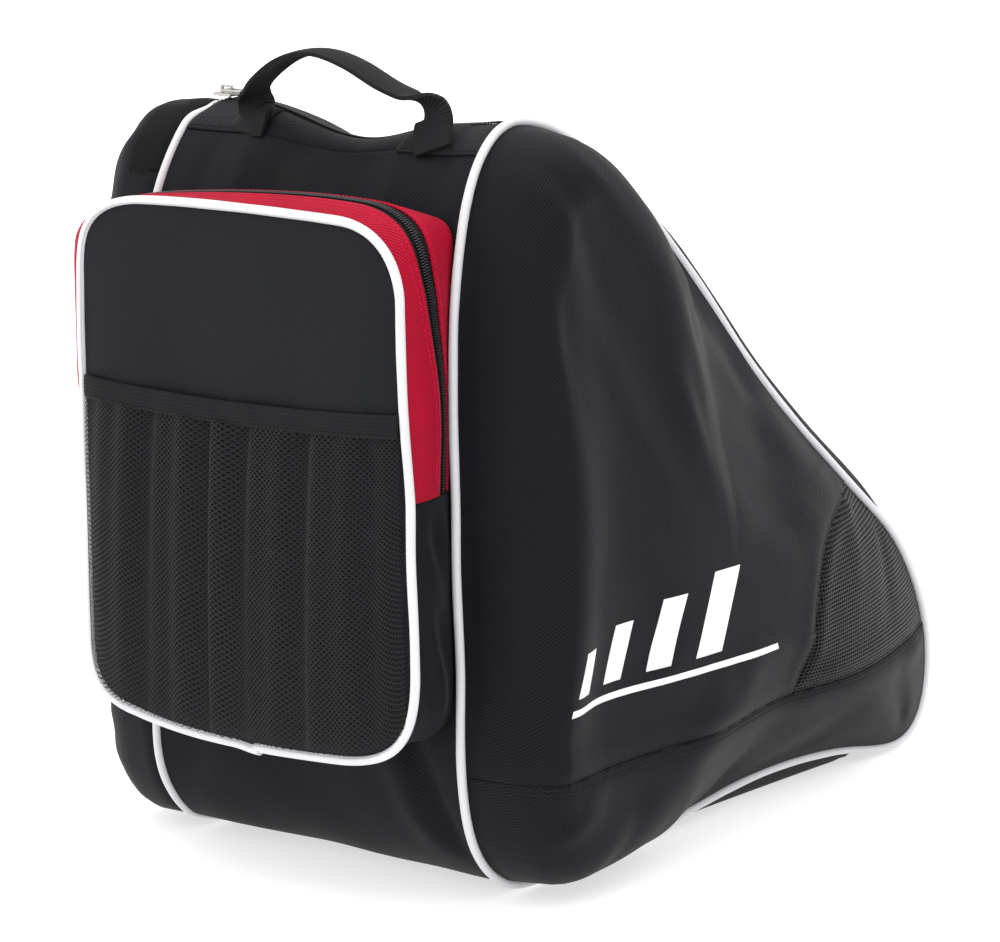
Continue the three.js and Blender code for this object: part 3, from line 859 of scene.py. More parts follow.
SIDE_CLOTH = 1.6  # thickness of a side's cloth
PIPING_OVER = 2.6  # how far in from the outline the net runs under the piping
VENT_BACKING = 2.4  # how far the dark backing lies behind the vent's net
VENT_ORIGIN = np.array([VENT_Y - 4, SEAM_Z - 1.6])  # the net's lower front corner, under its seams


def make_side(side, name):
    """A side's panel, band and vent, with its stitches. Returns its surface, to lay things on."""
    panel = side_sheet(f"{name}_side_panel_cloth", side)
    flat, faces = side_points(side)
    tree = BVHTree.FromPolygons(place(flat).tolist(), faces)
    cut(panel, (0, 0, SEAM_Z + 0.15), (0, 0, -1))
    cut_at_vent(panel, True)
    band = side_sheet(f"{name}_side_band_cloth", side)
    cut(band, (0, 0, SEAM_Z - 0.15), (0, 0, 1))
    backing = side_sheet(f"{name}_vent_lining", side)
    cut_at_vent(backing, False)
    finish_piece(panel, nylon, "bag_body", "nylon", f"{name}_side_panel", thick=SIDE_CLOTH)
    finish_piece(band, nylon, "bag_body", "nylon", f"{name}_side_band", thick=SIDE_CLOTH)
    backing.data.transform(Matrix.Translation((-side * VENT_BACKING * MM, 0, 0)))
    finish_piece(backing, lining, "bag_body", "vent_mesh", thick=0.6)

    rim_line = outline.line - outline.out(outline.along) * PIPING_OVER
    toe = rim_line[(rim_line[:, 0] > 200) & (outline.along < S_TOE_FOOT)][::-1]

    def inside(centre):
        y, z = (centre + VENT_ORIGIN).T
        return (y > vent_at(z) - 1.0) & (y < np.interp(z, toe[:, 1], toe[:, 0]) - 1.0)

    def on_side(flat):
        return surface_at(tree, side, flat + VENT_ORIGIN, -0.75)

    size = (DEPTH - VENT_ORIGIN[0], 126, 2.6, 2.2, 0.8)
    net = lattice(f"{name}_vent_net", on_side, *size, False, inside)
    finish_piece(net, netting, "bag_body", "vent_mesh", f"{name}_side_vent", thick=0.5)

    rows = []
    for offset in (2.2, 4.6):
        y = np.linspace(6, DEPTH - 6, 160)
        row = np.stack([y, np.full_like(y, SEAM_Z - offset)], -1)
        rows.append(surface_at(tree, side, row, 0.05))
    z = np.linspace(SEAM_Z + 2, SEAM_Z + 0.98 * VENT_RISE, 60)
    rows.append(surface_at(tree, side, np.stack([vent_at(z) - 2.6, z], -1), 0.05))
    for number, line in enumerate(rows):
        seam = stitches(f"{name}_side_stitches_{number + 1}", line, [side, 0, 0], 3.0, 0.3)
        finish_piece(seam, thread, "bag_body", "nylon")
    return tree


right_tree = make_side(1, "right")
left_tree = make_side(-1, "left")


def side_piping(side, name):
    """The loop of piping round a side; its ends lap under the base."""
    joint = outline.near((170, 6))
    s = np.linspace(joint, joint + outline.length - 1.0, 620)
    yz = outline.at(s)
    weave = 0.35 * np.sin(s / 31.0) + 0.25 * np.sin(s / 13.0 + 2)
    line = np.stack([side * (HALF + weave), yz[:, 0], yz[:, 1]], -1)
    obj = tube(f"{name}_piping_cloth", line, PIPING_R, 14, 0.03)
    finish_piece(obj, white_piping, "bag_body", "piping", f"{name}_piping")


side_piping(1, "right")
side_piping(-1, "left")

# Cloth between the sides.


def top_dip(s, x):
    """The slack cloth of the top sinks between the handle's ends."""
    past = s - S_RIDGE
    before = TOP_SAG * np.exp(-((past / 42) ** 2)) * (past < 0)
    after = (TOP_SAG + 7.5 * smooth(past, 0, 60)) * (1 - smooth(past, 80, 190)) * (past >= 0)
    near_end = 3.5 * bump(x, 74, 22) * np.exp(-((past / 40) ** 2))
    return -(before + after) * bump(x, 5, 43 + 9 * smooth(past, 0, 80)) - near_end


# The front's folds, each as its place across, its half width and its height.
FOLDS = [
    (-74, 7, -1.6),
    (-48, 8, 1.6),
    (-27, 7, -1.8),
    (-6, 8, 1.5),
    (27, 10, -2.2),
    (52, 8, 1.7),
    (78, 8, -1.6),
]


def front_folds(s, x):
    """Soft upright folds that hang from the ridge."""
    below = S_RIDGE - s
    fade = smooth(below, -2, 14) * (1 - smooth(below, 45, 120))
    hanging = sum(depth * bump(x + 0.05 * below, at, width) for at, width, depth in FOLDS) * fade
    # One long crease runs down to the right foot, and a shallower one to the left.
    z = outline.at(s)[..., 1]
    low = smooth(z, 15, 45) * (1 - smooth(z, 95, 150))
    lean = x - (100 - z) * 0.42
    hanging += low * (-4.5 * bump(lean, 62, 7) + 3.0 * bump(lean, 46, 11))
    return hanging + low * -1.6 * bump(x + (100 - z) * 0.3, -66, 12)


def lid_crown(s, x):
    """The lid swells above the piping along the slope."""
    share = smooth(s, S_ZIP + 60, S_ZIP + 180) * (1 - smooth(s, S_HINGE - 30, S_HINGE + 70))
    return LID_CROWN * share * (1 - (np.abs(x) / HALF) ** 20)


def body_lift(s, x):
    """How far the cloth between the sides stands out of the outline."""
    ripple = 0.6 * np.sin(s / 17.0 + x / 29.0) * np.sin(x / 21.0 + s / 53.0)
    return top_dip(s, x) + front_folds(s, x) + lid_crown(s, x) + ripple * (1 - (np.abs(x) / HALF) ** 4)


def body_surface(s, x, lift=0.0):
    """Points on the cloth between the sides, from distances along the outline and across."""
    s, x = np.broadcast_arrays(np.asarray(s, float), np.asarray(x, float))
    yz = outline.at(s) + outline.out(s) * (body_lift(s, x) + lift)[..., None]
    return np.stack([x, yz[..., 0], yz[..., 1]], -1)


def body_sheet(name, s0, s1, x0, x1, step):
    """A panel between the sides."""
    rows = max(3, round((s1 - s0) / step))
    columns = max(3, round((x1 - x0) / step))
    s, x = np.meshgrid(np.linspace(s0, s1, rows), np.linspace(x0, x1, columns), indexing="ij")
    return grid_object(name, body_surface(s, x), np.stack([x, s], -1))


EDGE = HALF - 1.2  # how far out the cloth between the sides reaches
ZIP_X = node_box("main_zip_body_half")[1][0] - 4.6  # middle plane to the zip's middle
COIL_HALF = 2.6  # half the width of a closed coil
TAPE_WIDTH = 5.0  # the tape beside the coil


front = body_sheet("front_panel_cloth", 2, S_RIDGE, -EDGE, EDGE, 2.6)
finish_piece(front, front_nylon, "bag_body", "nylon", "front_panel", thick=CLOTH)
toe = body_sheet("toe_gusset_cloth", S_HINGE + 0.4, S_TOE_FOOT, -EDGE, EDGE, 4)
finish_piece(toe, nylon, "bag_body", "nylon", "toe_gusset", thick=CLOTH)


def zip_line(offset):
    """The zip's U on the body, in (x, s): up the right side, across the top, down the left, moved
    outwards by offset."""
    radius = 12 + offset
    half = ZIP_X + offset
    top = S_ZIP - offset
    arc = np.linspace(0, math.pi / 2, 14)
    right = [(half, s) for s in np.linspace(S_HINGE, top + radius, 60)[:-1]]
    corner = [(half - radius + radius * math.cos(a), top + radius - radius * math.sin(a)) for a in arc]
    across = [(x, top) for x in np.linspace(half - radius, -half + radius, 50)[1:-1]]
    mirrored = [(-x, s) for x, s in (right + corner)[::-1]]
    return np.array(right + corner + across + mirrored)


def ribbon(name, lines, lift):
    """A sheet between two or more lines in (x, s) on the body."""
    points = np.stack([body_surface(line[:, 1], line[:, 0], lift) for line in lines], 1)
    return grid_object(name, points, pairs(distances(points[:, 0]), np.arange(len(lines)) * 3.0))


LID_BLEND = (
    ("bag_body", "lid"),
    tuple(place(body_surface(S_HINGE + 6, 0.0)).tolist()),
    tuple(place(body_surface(S_HINGE - 26, 0.0)).tolist()),
)


def lid_sheet():
    """The lid, inside the zip's tape, with rounded upper corners."""
    edge = zip_line(-COIL_HALF - TAPE_WIDTH + 1.2)
    half = len(edge) // 2
    right = edge[: half + 1]
    s = right[:, 1]
    x = np.array([np.linspace(-x_edge, x_edge, 70) for x_edge in right[:, 0]])
    keep = np.concatenate([[True], np.abs(np.diff(s)) > 0.15])
    x, s = x[keep], s[keep]
    points = body_surface(s[:, None], x)
    return grid_object("lid_cloth", points, np.stack(np.broadcast_arrays(x, s[:, None]), -1))


finish_piece(lid_sheet(), nylon, "lid", "nylon", "lid_panel", blend=LID_BLEND, thick=CLOTH)
for half, body, way, blend in (("body", "bag_body", 1, None), ("lid", "lid", -1, LID_BLEND)):
    lines = [zip_line(way * offset) for offset in (0.6, 2.6, COIL_HALF + TAPE_WIDTH)]
    obj = ribbon(f"main_zip_{half}_tape", lines, -0.6)
    finish_piece(obj, tape, body, "zip_tape", f"main_zip_{half}_half", blend=blend, thick=0.7)


PITCH = 1.45  # from one tooth of a coil to the next


def coils(at_offset, halves):
    """The two halves of a zip's coil, each a row of rounded bars from its tape to the middle.
    at_offset gives a line beside the zip's middle, lifted off the cloth."""
    line = at_offset(0, 0)
    along = distances(line)
    above = at_offset(0, 1) - line
    for phase, (name, offset, body, blend) in zip((0.5, 1.0), halves):
        at = np.arange(PITCH * phase, along[-1] - PITCH * 0.4, PITCH)
        middle, up = read(at, along, line), read(at, along, above)
        across = unit(read(at, along, at_offset(offset, 0)) - middle)
        centres = middle + across * 1.05 + up * 0.55
        obj = lozenges(name, centres, across, up, 1.7, PITCH * 0.34, 0.75)
        finish_piece(obj, coil_plastic, body, "zip_tape", blend=blend)


def beside_main_zip(offset, lift):
    """A line beside the zip's middle, lifted off the body."""
    x, s = zip_line(offset).T
    return body_surface(s, x, lift)


coils(
    beside_main_zip,
    [("main_zip_body_coil", 3.0, "bag_body", None), ("main_zip_lid_coil", -3.0, "lid", LID_BLEND)],
)


def top_and_arms():
    """The gusset between the ridge, the zip and the side piping."""
    edge = zip_line(COIL_HALF + TAPE_WIDTH - 1.0)
    rim = np.array([(np.sign(x) * EDGE if s > S_ZIP + 4 else x * EDGE / ZIP_X, s) for x, s in edge])
    rim[:, 0] = np.clip(rim[:, 0], -EDGE, EDGE)
    top = np.abs(edge[:, 0]) < ZIP_X - 3
    ridge = S_RIDGE + 0.3
    rim[:, 1] = np.where(top, ridge, np.maximum(ridge, edge[:, 1]))
    corner = (~top) & (edge[:, 1] < S_ZIP + 14)
    rise = (edge[corner, 1] - edge[top, 1].min()) * 2.6
    rim[corner, 1] = np.minimum(rim[corner, 1], ridge + rise)
    obj = ribbon("top_gusset_cloth", [edge * (1 - t) + rim * t for t in np.linspace(0, 1, 8)], 0.1)
    finish_piece(obj, nylon, "bag_body", "nylon", "top_gusset", thick=1.2)


top_and_arms()


def base_cloth():
    """The base: flat on the ground in the middle and curling up to the piping at its edges."""
    s = np.linspace(S_TOE_FOOT, outline.length + 2, 110)
    s, x = np.meshgrid(s, np.linspace(-EDGE, EDGE, 80), indexing="ij")
    y, height = np.moveaxis(outline.at(s), -1, 0)
    share = smooth(np.abs(x), EDGE - 15, EDGE)
    ends = 1 - smooth(y, 70, 95) * (1 - smooth(y, 352, 392))
    z = height * np.maximum(share, ends * 0.95) + 0.2
    return grid_object("base_cloth", np.stack([x, y, z], -1), np.stack([x, y], -1))


finish_piece(base_cloth(), nylon, "bag_body", "nylon", "base_panel", thick=CLOTH)
paint(frame["nodes"]["base_board"], board_plastic)

# Front pocket.

LEFT = -(POCKET_HALF + 0.6)  # the filled pocket leans to its right foot
RIGHT = POCKET_HALF - 4.4
TOP = POCKET_TOP - 0.2
FOOT = POCKET_BOTTOM + 0.6


def pocket_path():
    """The pocket's front outline in (x, z), from the right fold line over the top and back."""
    return Path(
        (RIGHT, FOLD_Z),
        [
            [(RIGHT - 7, TOP - 36)],
            [(RIGHT - 9.5, TOP - 18), (RIGHT - 23, TOP - 2), (RIGHT - 45, TOP - 0.3)],
            [(RIGHT - 63, TOP + 1), (LEFT + 66, TOP + 1), (LEFT + 37, TOP - 1)],
            [(LEFT + 13, TOP - 3), (LEFT - 1, TOP - 12), (LEFT - 1, TOP - 41)],
            [(LEFT, FOLD_Z)],
            [(LEFT + 1.8, FOOT + 42)],
            [(LEFT + 2, FOOT + 20), (LEFT + 11, FOOT + 9), (LEFT + 36, FOOT + 5.5)],
            [(LEFT + 72, FOOT - 2.5), (RIGHT - 99, FOOT - 2.5), (RIGHT - 49, FOOT + 2)],
            [(RIGHT - 17, FOOT + 4.5), (RIGHT + 1.5, FOOT + 17), (RIGHT + 1.5, FOOT + 54)],
            [(RIGHT, FOLD_Z)],
        ],
        closed=True,
    )


def pocket_root():
    """Where the pocket's gusset is sewn to the body, in (x, z): wider at its top corners."""
    side, top, foot = HALF - 4.5, TOP + 1, FOOT + 8
    return Path(
        (side, FOLD_Z),
        [
            [(side, top - 15)],
            [(side, top - 6), (side - 4, top - 2), (side - 14, top - 1)],
            [(side - 50, top + 2), (50 - side, top + 1), (20 - side, top - 3)],
            [(8 - side, top - 5), (-side, top - 12), (-side, top - 26)],
            [(-side, FOLD_Z)],
            [(-side, foot + 26)],
            [(-side, foot + 10), (10 - side, foot), (26 - side, foot)],
            [(side - 26, foot)],
            [(side - 10, foot), (side, foot + 10), (side, foot + 26)],
            [(side, FOLD_Z)],
        ],
        closed=True,
    )


root = pocket_root()
pocket = pocket_path()


def flap_blend(below, above):
    """A blend from the body to the pocket's flap, over so much below and above the fold."""
    y = JOINT_AT["pocket_fold"][1]
    return ("bag_body", "pocket_flap"), (0, y, (FOLD_Z - below) * MM), (0, y, (FOLD_Z + above) * MM)


FLAP_BLEND = flap_blend(10, 10)
GUSSET_BLEND = flap_blend(1, 46)


def pocket_shell(s, y, lift=0.0):
    """Points on the pocket's gusset, from the distance round its front outline and the depth. It
    swells between the piping and the body, most of all at its top and left."""
    s, y = np.broadcast_arrays(np.asarray(s, float), np.asarray(y, float))
    front = pocket.at(s)
    normal = -pocket.out(s)
    deep = np.clip((y + POCKET_DEPTH) / POCKET_DEPTH, 0, 1)
    back = root.at(s * root.length / pocket.length)
    x, z = np.moveaxis(front + (back - front) * (deep**2.2)[..., None], -1, 0)
    high = smooth(front[..., 1], TOP - 30, TOP - 4)
    left = 1 - smooth(front[..., 0], LEFT + 6, LEFT + 40)
    full = 3.6 + high * (6.2 * smooth(front[..., 0], -100, 50) - 1.4)
    early = np.sin(math.pi * deep**0.5) ** 2  # the left side's swelling, nearer the front
    swelling = full * np.sin(math.pi * deep**0.8) + 10.5 * early * left * (1 - high)
    amount = swelling * smooth(front[..., 1], FOLD_Z - 10, FOLD_Z + 40)
    lower = 1 - smooth(front[..., 1], FOLD_Z - 22, FOLD_Z - 2)
    crumple = np.sin(front[..., 1] / 8.5 + y / 7.0 + 1.2 * np.sin(front[..., 0] / 19.0))
    crumple *= np.sin(y / 6.5 + 1)
    crumple += 0.8 * np.sin(y / 4.6 + front[..., 1] / 27.0 + front[..., 0] / 14.0)
    amount = amount + 1.7 * crumple * lower * np.sin(math.pi * deep) ** 0.7 - 0.8 + lift
    return np.stack([x + normal[..., 0] * amount, y, z + normal[..., 1] * amount], -1)


S_LEFT_FOLD = pocket.near((LEFT, FOLD_Z))
S_RIGHT_FOLD = pocket.length


def zip_depth(s):
    """The depth of the pocket zip's middle round the pocket's top."""
    z = pocket.at(s)[..., 1]
    return -10 - 15 * smooth(z, 262, 345)


def gusset_sheet(name, front, back, material, slot, node, flap, lift, s0=0, s1=S_LEFT_FOLD):
    """A strip of the gusset between two depths, each fixed or measured from the zip's middle."""
    s = np.linspace(s0, s1, max(12, round((s1 - s0) / 2.2)))
    share = np.linspace(0, 1, 16)
    front, back = (start + zip_depth(s) * on_zip for start, on_zip in (front, back))
    y = front[:, None] * (1 - share) + back[:, None] * share
    points = pocket_shell(s[:, None], y, lift)
    obj = grid_object(name, points, np.stack(np.broadcast_arrays(s[:, None], y), -1))
    blend = GUSSET_BLEND if flap else None
    inner = [0, -20, 220]  # a place in the pocket
    finish_piece(obj, material, "bag_body", slot, node, blend=blend, thick=1.0, inner=inner)


POCKET_TAPE = 5.2  # from the zip's middle to the seam on its tape
FRONT_END, REAR_END = (-POCKET_DEPTH + 1.4, 0), (-0.4, 0)
RED, TAPE = (red_nylon, "red_nylon"), (tape, "zip_tape")
gusset_sheet(
    "pocket_gusset_front_cloth", FRONT_END, (-POCKET_TAPE, 1), *RED, "pocket_gusset_front", True, 0.5
)
gusset_sheet(
    "pocket_gusset_rear_cloth", (POCKET_TAPE, 1), REAR_END, *RED, "pocket_gusset_rear", False, 0.5
)
gusset_sheet(
    "pocket_zip_front_tape", (-POCKET_TAPE - 1.5, 1), (-0.4, 1), *TAPE, "pocket_zip_front_half",
    True, -0.6,
)
gusset_sheet(
    "pocket_zip_rear_tape", (0.4, 1), (POCKET_TAPE + 1.5, 1), *TAPE, "pocket_zip_rear_half", False, -0.6
)
gusset_sheet(
    "pocket_gusset_lower_cloth", FRONT_END, REAR_END, nylon, "nylon", "pocket_gusset_lower", False, 0.3,
    S_LEFT_FOLD, S_RIGHT_FOLD,
)


def beside_pocket_zip(offset, lift):
    """A line beside the pocket zip's middle, lifted off the gusset."""
    s = np.linspace(0.5, S_LEFT_FOLD - 0.5, 300)
    return pocket_shell(s, zip_depth(s) + offset, lift - 0.4)


coils(
    beside_pocket_zip,
    [
        ("pocket_zip_front_coil", -3.0, "pocket_flap", GUSSET_BLEND),
        ("pocket_zip_rear_coil", 3.0, "bag_body", None),
    ],
)


def gusset_stitches():
    s = np.linspace(6, S_LEFT_FOLD - 6, 240)
    rows = [(-POCKET_TAPE - 2, GUSSET_BLEND), (-POCKET_TAPE - 5, GUSSET_BLEND), (POCKET_TAPE + 2, None)]
    for number, (offset, blend) in enumerate(rows):
        line = pocket_shell(s, zip_depth(s) + offset, 0.55)
        ups = pocket_shell(s, zip_depth(s) + offset, 1.55) - line
        obj = stitches(f"pocket_stitches_{number + 1}", line, ups, 2.8, 0.3)
        finish_piece(obj, red_thread, "bag_body", "red_nylon", blend=blend)


gusset_stitches()


def pocket_front():
    """The pocket's front: slightly crowned inside its piping."""
    s = np.linspace(0, pocket.length, 260, endpoint=False)
    rim = pocket.at(s) + pocket.out(s) * 1.2
    middle = np.array([(LEFT + RIGHT) / 2, (POCKET_TOP + FOOT) / 2])
    shares = np.concatenate([np.linspace(1, 0.9, 7)[:-1], np.linspace(0.9, 0.0, 34)])[:, None]
    flat = middle + (rim - middle)[None] * shares[..., None]
    x, z = flat[..., 0], flat[..., 1]
    folds = np.sin(x / 31.0 + z / 47.0) * np.sin(z / 39.0 + 0.6) + 0.5 * np.sin(x / 13.0 - z / 60.0)
    y = -POCKET_DEPTH - 3.6 * (1 - shares**7) - folds * (1 - shares**6) * 0.8
    points, faces = disc(np.stack([x, y, z], -1))
    obj = new_object("pocket_front_cloth", points, faces, points[:, [0, 2]])
    nodes = ("pocket_front_upper", "pocket_front_lower")
    finish_piece(obj, pocket_nylon, None, "nylon", *nodes, blend=FLAP_BLEND, thick=CLOTH)


pocket_front()


def pocket_piping():
    """The loop of piping round the pocket's front; its ends lap at its foot."""
    joint = pocket.near((4, FOOT))
    s = np.linspace(joint, joint + pocket.length + 3, 520)
    xz = pocket.at(s)
    lap = smooth(s, joint + pocket.length - 14, joint + pocket.length + 2)
    weave = 0.3 * np.sin(s / 27.0) + 0.2 * np.sin(s / 11.0)
    line = np.stack([xz[:, 0] + weave * 0.5, -POCKET_DEPTH + weave, xz[:, 1] - 1.5 * lap], -1)
    obj = tube("pocket_piping_cloth", line, PIPING_R, 14, 0.03)
    nodes = ("pocket_piping_upper", "pocket_piping_lower")
    finish_piece(obj, white_piping, None, "piping", *nodes, blend=FLAP_BLEND)


pocket_piping()

NET_MIDDLE = (LEFT + RIGHT) / 2
NET_HALF = (RIGHT - LEFT) / 2 - 2.4
NET_FLAT = 264.0  # the net's cut width, before it is gathered
NET_DROP = 178.0
NET_PITCH = (3.7, 3.1)
STRAND = 1.1


def pocket_foot(x):
    """The height of the pocket's outline under a place on its front."""
    ends = pocket.near((LEFT + 1.8, FOOT + 42)), pocket.near((RIGHT + 2.3, FOOT + 54))
    line = pocket.at(np.linspace(*ends, 300))
    return np.interp(x, np.maximum.accumulate(line[:, 0]), line[:, 1])


def elastic_height(x):
    """The elastic's middle dips a little between its ends."""
    share = (x - NET_MIDDLE) / NET_HALF
    return (ELASTIC_LOW + ELASTIC_HIGH) / 2 - 4.5 + 3.5 * share**2 + 2 * share


def net_surface(flat):
    """The gathered net, from its flat cloth coordinates."""
    u = np.clip(flat[:, 0] / NET_FLAT, 0, 1)
    v = np.clip(flat[:, 1] / NET_DROP, 0, 1)
    uneven = 0.9 * np.sin(11 * u + 1)
    wide, narrow = 2 * math.pi * 6 * u + 0.8 * v, 2 * math.pi * 10 * u + 2 * v  # the pleats' turns
    gather = np.sin(wide + uneven) + 0.6 * np.sin(narrow + 1)
    off = np.clip(NET_HALF * (2 * u - 1) + 2.7 * gather * np.sin(math.pi * u), -NET_HALF, NET_HALF)
    x = NET_MIDDLE + off
    top = elastic_height(x) - 4
    foot = pocket_foot(x) + 2.4
    z = top + (foot - top) * v
    x = x + 0.013 * (FOLD_Z - z)
    edge = np.where(u < 0.5, (1 - np.abs(2 * u - 1) ** 9) ** 0.5, 1 - np.abs(2 * u - 1) ** 3.5)
    hang = np.sin(math.pi * np.clip(v, 0, 1)) ** 0.6
    pleats = np.cos(wide + 0.7 + uneven) + 0.6 * np.cos(narrow + 2)
    depth = 1.5 + 3.6 * edge + 3.2 * hang * edge + 1.5 * pleats * edge * (0.35 + 0.65 * (1 - v))
    return np.stack([x, -POCKET_DEPTH - 0.6 - depth, z], -1)


def mesh_pocket():
    """The net that is gathered to the pocket's front, a free sheet."""
    net = lattice("pocket_net", net_surface, NET_FLAT, NET_DROP, *NET_PITCH, STRAND, True)
    nodes = ("pocket_mesh_lower", "pocket_mesh_upper")
    finish_piece(net, netting, None, "pocket_mesh", *nodes, blend=flap_blend(12, 12))


def elastic_band():
    """Ribbed elastic folded over the net's top edge."""
    off = np.linspace(-NET_HALF + 0.4, NET_HALF - 2.4, 180)
    x = NET_MIDDLE + off
    share = np.linspace(-1, 1, 37)
    half = (ELASTIC_HIGH - ELASTIC_LOW) / 2
    rib = 0.45 * np.abs(np.sin(share * math.pi * 3)) + 1.0 * (1 - share**6)
    wave = 0.5 * np.sin(x / 9.0) + 0.4 * np.sin(x / 4.1)
    swell = 0.6 + 4.4 * (1 - np.abs(off / NET_HALF) ** 6).clip(0) ** 0.6
    y = -POCKET_DEPTH - 1.0 - (swell + wave * 0.5)[:, None] - rib[None]
    z = elastic_height(x)[:, None] + share[None] * half + 0.15 * wave[:, None]
    points = np.stack(np.broadcast_arrays(x[:, None], y, z), -1)
    obj = grid_object("pocket_elastic", points, pairs(x, share * half))
    finish_piece(obj, elastic_cloth, "pocket_flap", "elastic", "mesh_elastic", thick=1.2)
    line = np.stack([x[3:-3], (y[:, 5] - 0.1)[3:-3], z[3:-3, 5]], -1)
    seam = stitches("elastic_stitches", line, [0, -1, 0], 2.6, 0.3)
    finish_piece(seam, thread, "pocket_flap", "elastic")


elastic_band()
mesh_pocket()

# Handle.

HANDLE_X = -sum(corner[0] for corner in node_box("left_handle_anchor")) / 2
HANDLE_Y = HANDLE_PIVOT[1] / MM - FRONT
HANDLE_Z = HANDLE_PIVOT[2] / MM


def cubic_line(points, count):
    """A smooth line through 3-D points (Catmull-Rom)."""
    p = np.array(points, float)
    p = np.concatenate([[2 * p[0] - p[1]], p, [2 * p[-1] - p[-2]]])
    at = np.linspace(0, len(p) - 3 - 1e-9, count)
    i = np.floor(at).astype(int)
    t = (at - i)[:, None]
    return catmull_rom(*(p[i + k] for k in range(4)), t)


HANDLE_LEFT = 8 - HANDLE_X  # the webbing's ends where the loaded ridge has drawn them
HANDLE_RIGHT = HANDLE_X + 8


def handle():
    """One length of webbing: flat to the front at its sewn ends, twisted a quarter turn and
    folded narrower in the grip."""
    y = HANDLE_Y
    left, right = HANDLE_LEFT, HANDLE_RIGHT
    line = cubic_line(
        [
            (left, y - 9, 384),
            (left, y - 5, 392),
            (left - 1, y - 1, 400),
            (left - 0.5, y, 409),
            (left + 11, y, 418.5),
            (-28, y, 426),
            (-7, y, 429.6),
            (16, y - 1, 425),
            (38, y - 1, 415.5),
            (right - 15, y, 409),
            (right - 5, y - 1, 403),
            (right - 2, y - 5, 394),
            (right + 1, y - 9, 386),
        ],
        190,
    )
    step = unit(np.gradient(line, axis=0))
    share = np.linspace(0, 1, len(line))
    ends = np.minimum(share, 1 - share)
    later = np.where(share > 0.5, 0.04, 0)  # the right end stays flat for longer
    twist = smooth(ends, 0.11 + later, 0.25 + later) * math.pi / 2
    flat = unit(np.cross([0, 1, 0], step))
    wide = flat * np.cos(twist)[:, None] + np.array([0, 1, 0]) * np.sin(twist)[:, None]
    wide = unit(wide - step * (wide * step).sum(1, keepdims=True))
    deep = np.cross(step, wide)
    half = 11.5 - 1.7 * smooth(ends, 0.1, 0.24)
    across = np.linspace(-1, 1, 22)
    curl = (1.6 * np.sin(twist * 2) + 1.3 * smooth(ends, 0.2, 0.4))[:, None] * across**2
    points = line[:, None] + wide[:, None] * (across[None, :, None] * half[:, None, None])
    points = points - deep[:, None] * (curl * np.sign(deep[:, 2:3] + 1e-6))[..., None]
    obj = grid_object("handle_webbing_cloth", points, pairs(distances(line), across * 13))
    modifier = obj.modifiers.new("thickness", "SOLIDIFY")
    modifier.thickness = 2.2 * MM
    modifier.offset = 0
    soften(obj, 0.6, 2)
    blend = (
        ("bag_body", "handle"),
        (0, HANDLE_PIVOT[1], (HANDLE_Z - 14) * MM),
        (0, HANDLE_PIVOT[1], (HANDLE_Z + 3) * MM),
    )
    finish_piece(obj, webbing, None, "webbing", "handle_webbing", blend=blend)


handle()


def patch_sheet(name, s0, s1, x0, x1, side):
    """A patch over the ridge that stands up where the handle's sewn end lies under it."""
    s, x = np.meshgrid(np.linspace(s0, s1, 30), np.linspace(x0, x1, 44), indexing="ij")
    rim = np.minimum(np.minimum(s - s0, s1 - s), np.minimum(x - x0, x1 - x))
    over = 1 - smooth(np.abs(x - (HANDLE_LEFT if side < 0 else HANDLE_RIGHT)), 9, 14)
    lift = 1.7 + 1.4 * over * smooth(rim, 0, 5) - 0.9 * np.exp(-rim / 1.6)
    return grid_object(name, body_surface(s, x, lift), np.stack([x, s], -1))


def handle_patches():
    """Reinforcing patches over the ridge, and the handle's stitched ends on them."""
    for name, side in (("right", 1), ("left", -1)):
        inner = node_box(f"{name}_handle_patch")[0 if side > 0 else 1][0]
        x0, x1 = sorted((inner, side * (EDGE - 1)))
        s0, s1 = S_RIDGE - 1.5, S_ZIP - 6.5
        obj = patch_sheet(f"{name}_handle_patch_cloth", s0, s1, x0, x1, side)
        nodes = (f"{name}_handle_patch", f"{name}_handle_anchor")
        finish_piece(obj, patch_nylon, "bag_body", "nylon", *nodes, thick=1.3)
        x = np.linspace(x0 + 2, x1 - 2, 40)
        for number, s in enumerate((s0 + 2.2, s1 - 2.2)):
            line = body_surface(s, x, 1.9)
            ups = body_surface(s, x, 2.9) - line
            seam = stitches(f"{name}_patch_stitches_{number + 1}", line, ups, 2.8, 0.3)
            finish_piece(seam, thread, "bag_body", "nylon")


handle_patches()

# Metal sliders: the frame's own shapes with softened edges.


def metal_piece(node, body):
    """A copy of a CAD node with rounded edges."""

    def merge(bm):
        bmesh.ops.remove_doubles(bm, verts=bm.verts, dist=1e-6)
        flat = [e for e in bm.edges if len(e.link_faces) == 2 and e.calc_face_angle() < 0.02]
        bmesh.ops.dissolve_edges(bm, edges=flat, use_verts=False)

    obj = edited(linked(f"{node}_metal", frame["nodes"][node].data.copy()), merge)
    finish_piece(soften(obj, 0.38, 3), nickel, body, "zip_metal", node)


for zip_name in ("main", "pocket"):
    for part in ("slider", "pull"):
        metal_piece(f"{zip_name}_zip_{part}", f"{zip_name}_{part}")


# A plain printed motif on each side: slanted bars that grow, over a thin line.


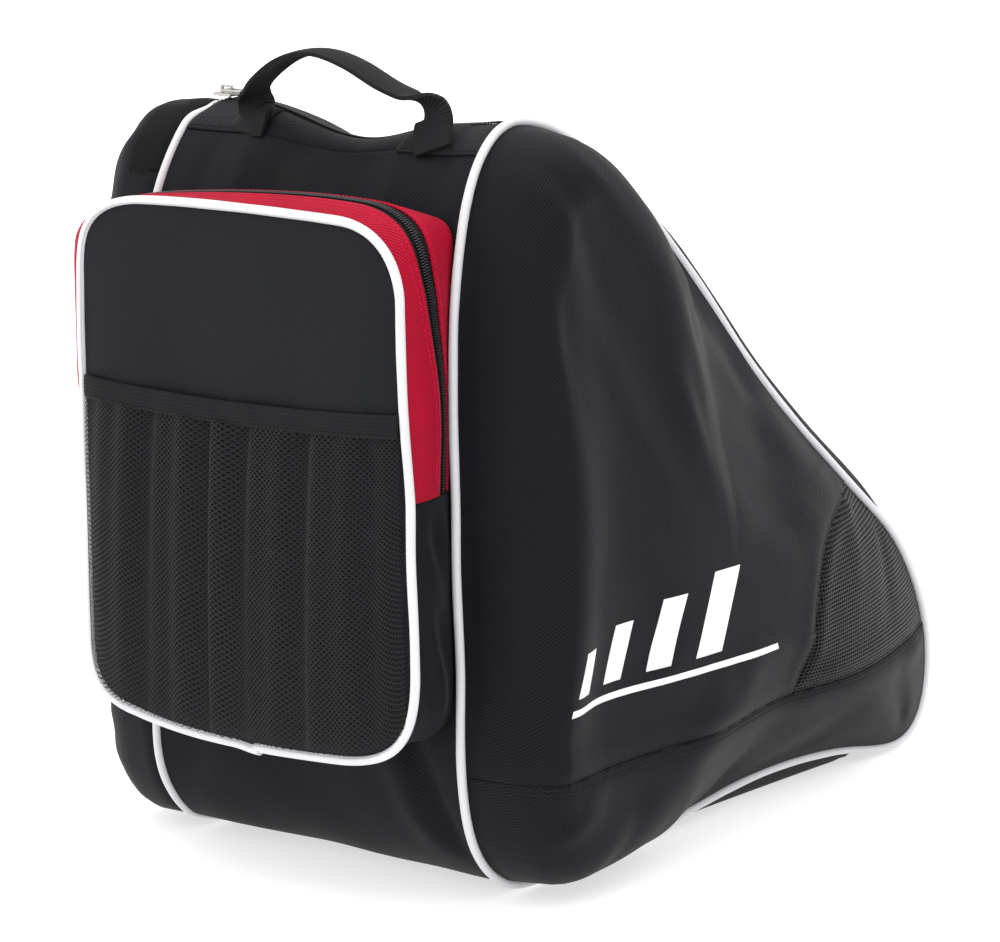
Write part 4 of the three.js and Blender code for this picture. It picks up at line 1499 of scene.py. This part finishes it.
def motif(side, name, tree):
    """Lays the motif's outlines on a side."""
    outlines = []
    foot = 116
    for y, height, width in [(27, 22, 12), (58, 29, 15), (93, 36, 18), (131, 43, 22)]:
        top, lean = foot + height, 0.35 * height
        outlines.append([(y, foot), (y + width, foot), (y + width + lean, top), (y + lean, top)])
    outlines.append([(22, foot - 9), (206, foot - 9), (204, foot - 5.5), (23, foot - 5.5)])
    points, faces = [], []
    for corners in outlines:
        a, b, c, d = (np.array(p, float) for p in corners)
        columns = max(4, round(np.linalg.norm(b - a) / 2))
        rows = max(3, round(np.linalg.norm(d - a) / 2))
        u, v = np.meshgrid(np.linspace(0, 1, columns), np.linspace(0, 1, rows))
        u, v = u[..., None], v[..., None]
        flat = (a * (1 - u) + b * u) * (1 - v) + (d * (1 - u) + c * u) * v
        faces += (grid_faces(rows, columns) + len(points)).tolist()
        points += flat.reshape(-1, 2).tolist()
    placed = surface_at(tree, side, points, 0.22)
    obj = new_object(f"{name}_print", placed, faces, np.array(points))
    finish_piece(obj, print_ink, "bag_body", "piping", thick=0.2)


motif(1, "right", right_tree)
motif(-1, "left", left_tree)

# Floor, light and camera.


FLOOR = 14.0  # metres from its middle to its edges
floor_mesh = bpy.data.meshes.new("floor")
corners = [(-FLOOR, -FLOOR, 0), (FLOOR, -FLOOR, 0), (FLOOR, FLOOR, 0), (-FLOOR, FLOOR, 0)]
floor_mesh.from_pydata(corners, [], [(0, 1, 2, 3)])
floor = linked("floor", floor_mesh)
pale = Nodes("floor")
pale.shade({
    "Base Color": (0.6, 0.6, 0.6, 1),
    "Roughness": 0.6,
    "Emission Color": (1, 1, 1, 1),
    "Emission Strength": 0.62,
})
paint(floor, pale.material)

world = bpy.data.worlds.new("studio")
world.use_nodes = True
world.node_tree.nodes["Background"].inputs[0].default_value = (1, 1, 1, 1)
world.node_tree.nodes["Background"].inputs[1].default_value = 0.85
bpy.context.scene.world = world


def soft_sun(name, toward, spread, strength):
    """A broad, even light from a direction."""
    light = bpy.data.lights.new(name, "SUN")
    light.energy = strength
    light.angle = math.radians(spread)
    obj = linked(name, light)
    obj.rotation_euler = Vector(toward).to_track_quat("Z", "Y").to_euler()


soft_sun("top_light", (0.15, 0.1, 1.0), 80, 2.3)
soft_sun("front_light", (-0.45, -1.0, 0.9), 90, 1.3)

camera_data = bpy.data.cameras.new("camera")
camera_data.sensor_width = 36
camera_data.lens = 154.9
camera = linked("camera", camera_data)
CAMERA_MM = [1432.9, -1618.7, 660.1]
camera.location = place(CAMERA_MM)
camera.rotation_euler = (math.radians(90 - 11.61), 0, math.radians(38.83))
bpy.context.scene.camera = camera
bpy.context.scene.view_settings.view_transform = "Standard"
